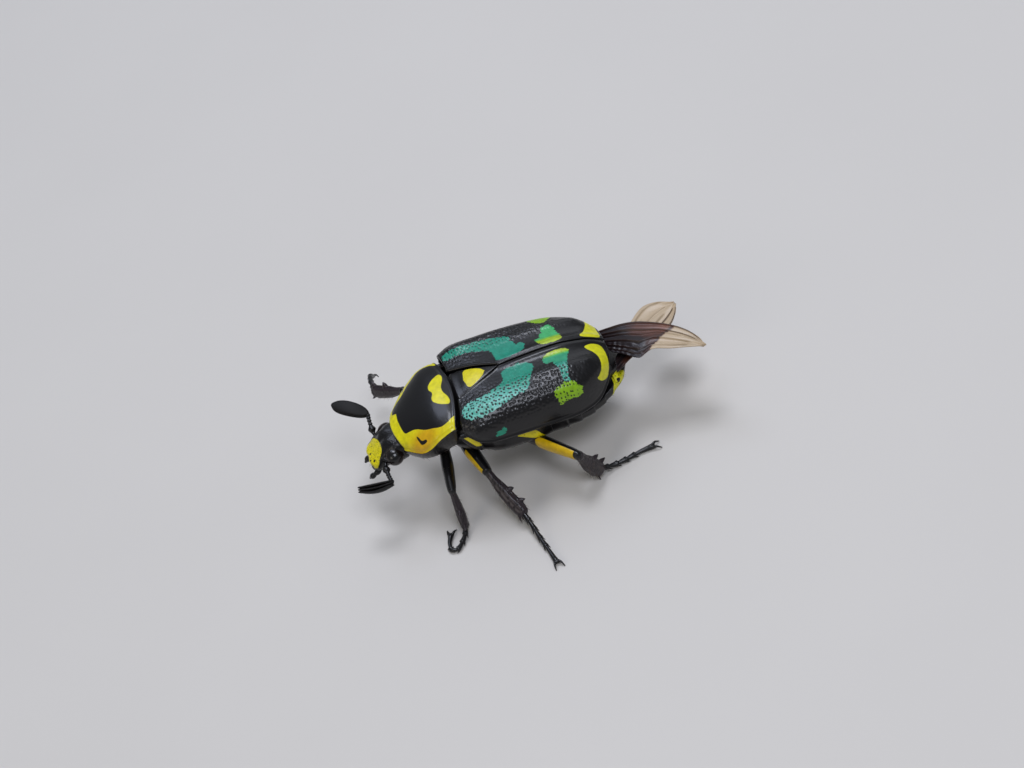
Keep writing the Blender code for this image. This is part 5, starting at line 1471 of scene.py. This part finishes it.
class BEETLE_OT_setae(bpy.types.Operator):
    """Sets bristles on the legs, the underside, the mouth and the tail"""
    bl_idname = "beetle.setae"
    bl_label = "Bristles"

    def execute(self, context):
        objects = bpy.data.objects
        seta_length = context.scene.beetle_sizes.seta_length / MM

        def below(low, high, share=1.0):
            return lambda points, normals: step_up(-normals[:, 2], low, high) * share
        shins, thighs, feet = [], [], []
        for name in LEGS:
            root, knee, ankle, way, hint, along, outer = leg_frame(name)
            femur_way = unit(knee - root)

            def inner_side(points, normals, knee=knee, along=along, outer=outer):
                down = step_up((points - knee) @ along, 0.4, 1.0)
                return step_up(-(normals @ outer), -0.1, 0.7) * down + 0.15

            def fringe(points, normals, across=unit(np.cross(femur_way, hint))):
                return step_up(np.abs(normals @ across), 0.75, 0.98)
            shins.append((objects["shin_" + name], inner_side, along))
            thighs.append((objects["thigh_" + name], fringe, femur_way))
            feet.append((objects["foot_" + name], below(-0.2, 0.6), unit(np.array(way[-1]) - ankle)))
        belly = [(objects["hind_thorax"], below(0.1, 0.7), (0.0, 1.0, 0.0)),
                 (objects["pronotum"], below(0.1, 0.7), (0.0, 0.8, -0.2)),
                 (objects["belly_rings"], below(0.1, 0.7, 0.4), (0.0, 1.0, 0.0))]

        def mouth(points, normals):
            return step_up(-points[:, 1], 7.15, 8.05) * step_up(-normals[:, 2], 0.0, 0.6)

        def rear(points, normals):
            return step_up(normals[:, 1], 0.1, 0.6) * (points[:, 1] > 12.9)
        # name, skins, number on a square millimetre, length as a share of the setting, lean, seed
        for name, sources, density, share, lean, seed in (
                ("shin_setae", shins, 9.0, 1.0, 1.1, 3), ("thigh_setae", thighs, 4.0, 0.8, 0.9, 23),
                ("foot_setae", feet, 6.0, 0.45, 1.4, 43), ("belly_setae", belly, 3.0, 0.9, 1.6, 63),
                ("mouth_setae", [(objects["head_capsule"], mouth, (0.0, -1.0, 0.0))], 9.0, 0.9, 1.2, 83),
                ("tail_setae", [(objects["tail_plate"], rear, (0.0, 0.4, -0.6))], 5.0, 0.6, 1.0, 93)):
            bristle(name, sources, density, seta_length * share, lean, seed)
        return {"FINISHED"}


class BEETLE_OT_stage(bpy.types.Operator):
    """Lays the floor, and sets the lights and the camera"""
    bl_idname = "beetle.stage"
    bl_label = "Floor, light and camera"

    def execute(self, context):
        scene = context.scene
        # the cuticle's own colours come through unchanged
        scene.view_settings.view_transform = "Standard"
        mesh = bpy.data.meshes.new("studio_floor")
        corners = [(x * FLOOR_REACH, y * FLOOR_REACH, 0.0) for x, y in ((-1, -1), (1, -1), (1, 1), (-1, 1))]
        mesh.from_pydata(corners, [], [(0, 1, 2, 3)])
        mesh.materials.append(material(matt_studio_paper))
        floor = bpy.data.objects.new("studio_floor", mesh)
        scene.collection.objects.link(floor)
        for name, place, size, power, tone in LAMPS:
            lamp = bpy.data.lights.new(name, "AREA")
            lamp.shape, lamp.size, lamp.energy, lamp.color = "SQUARE", size, power, linear(tone)
            item = bpy.data.objects.new(name, lamp)
            item.location = place
            item.rotation_euler = (Vector(LAMP_AIM) - Vector(place)).to_track_quat("-Z", "Y").to_euler()
            scene.collection.objects.link(item)
        scene.world = bpy.data.worlds.new("studio_air")
        scene.world.use_nodes = True
        air = scene.world.node_tree
        wire(air, air.nodes["Background"], {"Color": linear(AIR_COLOUR), "Strength": AIR_STRENGTH})
        a, e, r = radians(VIEW_AZIMUTH), radians(VIEW_ELEVATION), radians(VIEW_ROLL)
        level = Vector((cos(a), sin(a), 0))
        steep = Vector((-sin(a) * sin(e), cos(a) * sin(e), cos(e)))
        back = Vector((sin(a) * cos(e), -cos(a) * cos(e), sin(e)))
        right, up = level * cos(r) - steep * sin(r), steep * cos(r) + level * sin(r)
        target = Vector(np.array(VIEW_TARGET) + SHIFT) + right * VIEW_SLIDE[0] + up * VIEW_SLIDE[1]
        lens = bpy.data.cameras.new("photo_view")
        lens.lens, lens.sensor_width, lens.clip_start, lens.clip_end = LENS, SENSOR, 0.005, 20.0
        camera = bpy.data.objects.new("photo_view", lens)
        turn = Matrix((right, up, back)).transposed()
        camera.matrix_world = Matrix.Translation((target + back * VIEW_DISTANCE) * MM) @ turn.to_4x4()
        scene.collection.objects.link(camera)
        scene.camera = camera
        return {"FINISHED"}


PIECES = (BEETLE_OT_wing_cases, BEETLE_OT_shield, BEETLE_OT_prothorax, BEETLE_OT_head, BEETLE_OT_antennae,
          BEETLE_OT_trunk, BEETLE_OT_hindwings, BEETLE_OT_legs, BEETLE_OT_setae, BEETLE_OT_stage)


class BEETLE_PT_pieces(bpy.types.Panel):
    """Lists the beetle's pieces and their settings"""
    bl_idname = "BEETLE_PT_pieces"
    bl_label = "Flower beetle"
    bl_space_type = "VIEW_3D"
    bl_region_type = "UI"
    bl_category = "Beetle"

    def draw(self, context):
        for settings in (context.scene.beetle_sizes, context.scene.beetle_colours):
            box = self.layout.box()
            for key in settings.__annotations__:
                box.prop(settings, key)
        for piece in PIECES:
            self.layout.operator(piece.bl_idname)


CLASSES = (BeetleSizes, BeetleColours, *PIECES, BEETLE_PT_pieces)


def register():
    for item in CLASSES:
        bpy.utils.register_class(item)
    bpy.types.Scene.beetle_sizes = bpy.props.PointerProperty(type=BeetleSizes)
    bpy.types.Scene.beetle_colours = bpy.props.PointerProperty(type=BeetleColours)


def unregister():
    del bpy.types.Scene.beetle_sizes
    del bpy.types.Scene.beetle_colours
    for item in reversed(CLASSES):
        bpy.utils.unregister_class(item)


def main():
    known = set(frame["nodes"].values()) | set(frame["bodies"].values())
    for item in list(bpy.data.objects):
        if item not in known:
            bpy.data.objects.remove(item, do_unlink=True)
    register()
    for piece in PIECES:
        group, name = piece.bl_idname.split(".")
        getattr(getattr(bpy.ops, group), name)()


if __name__ == "__main__":
    main()
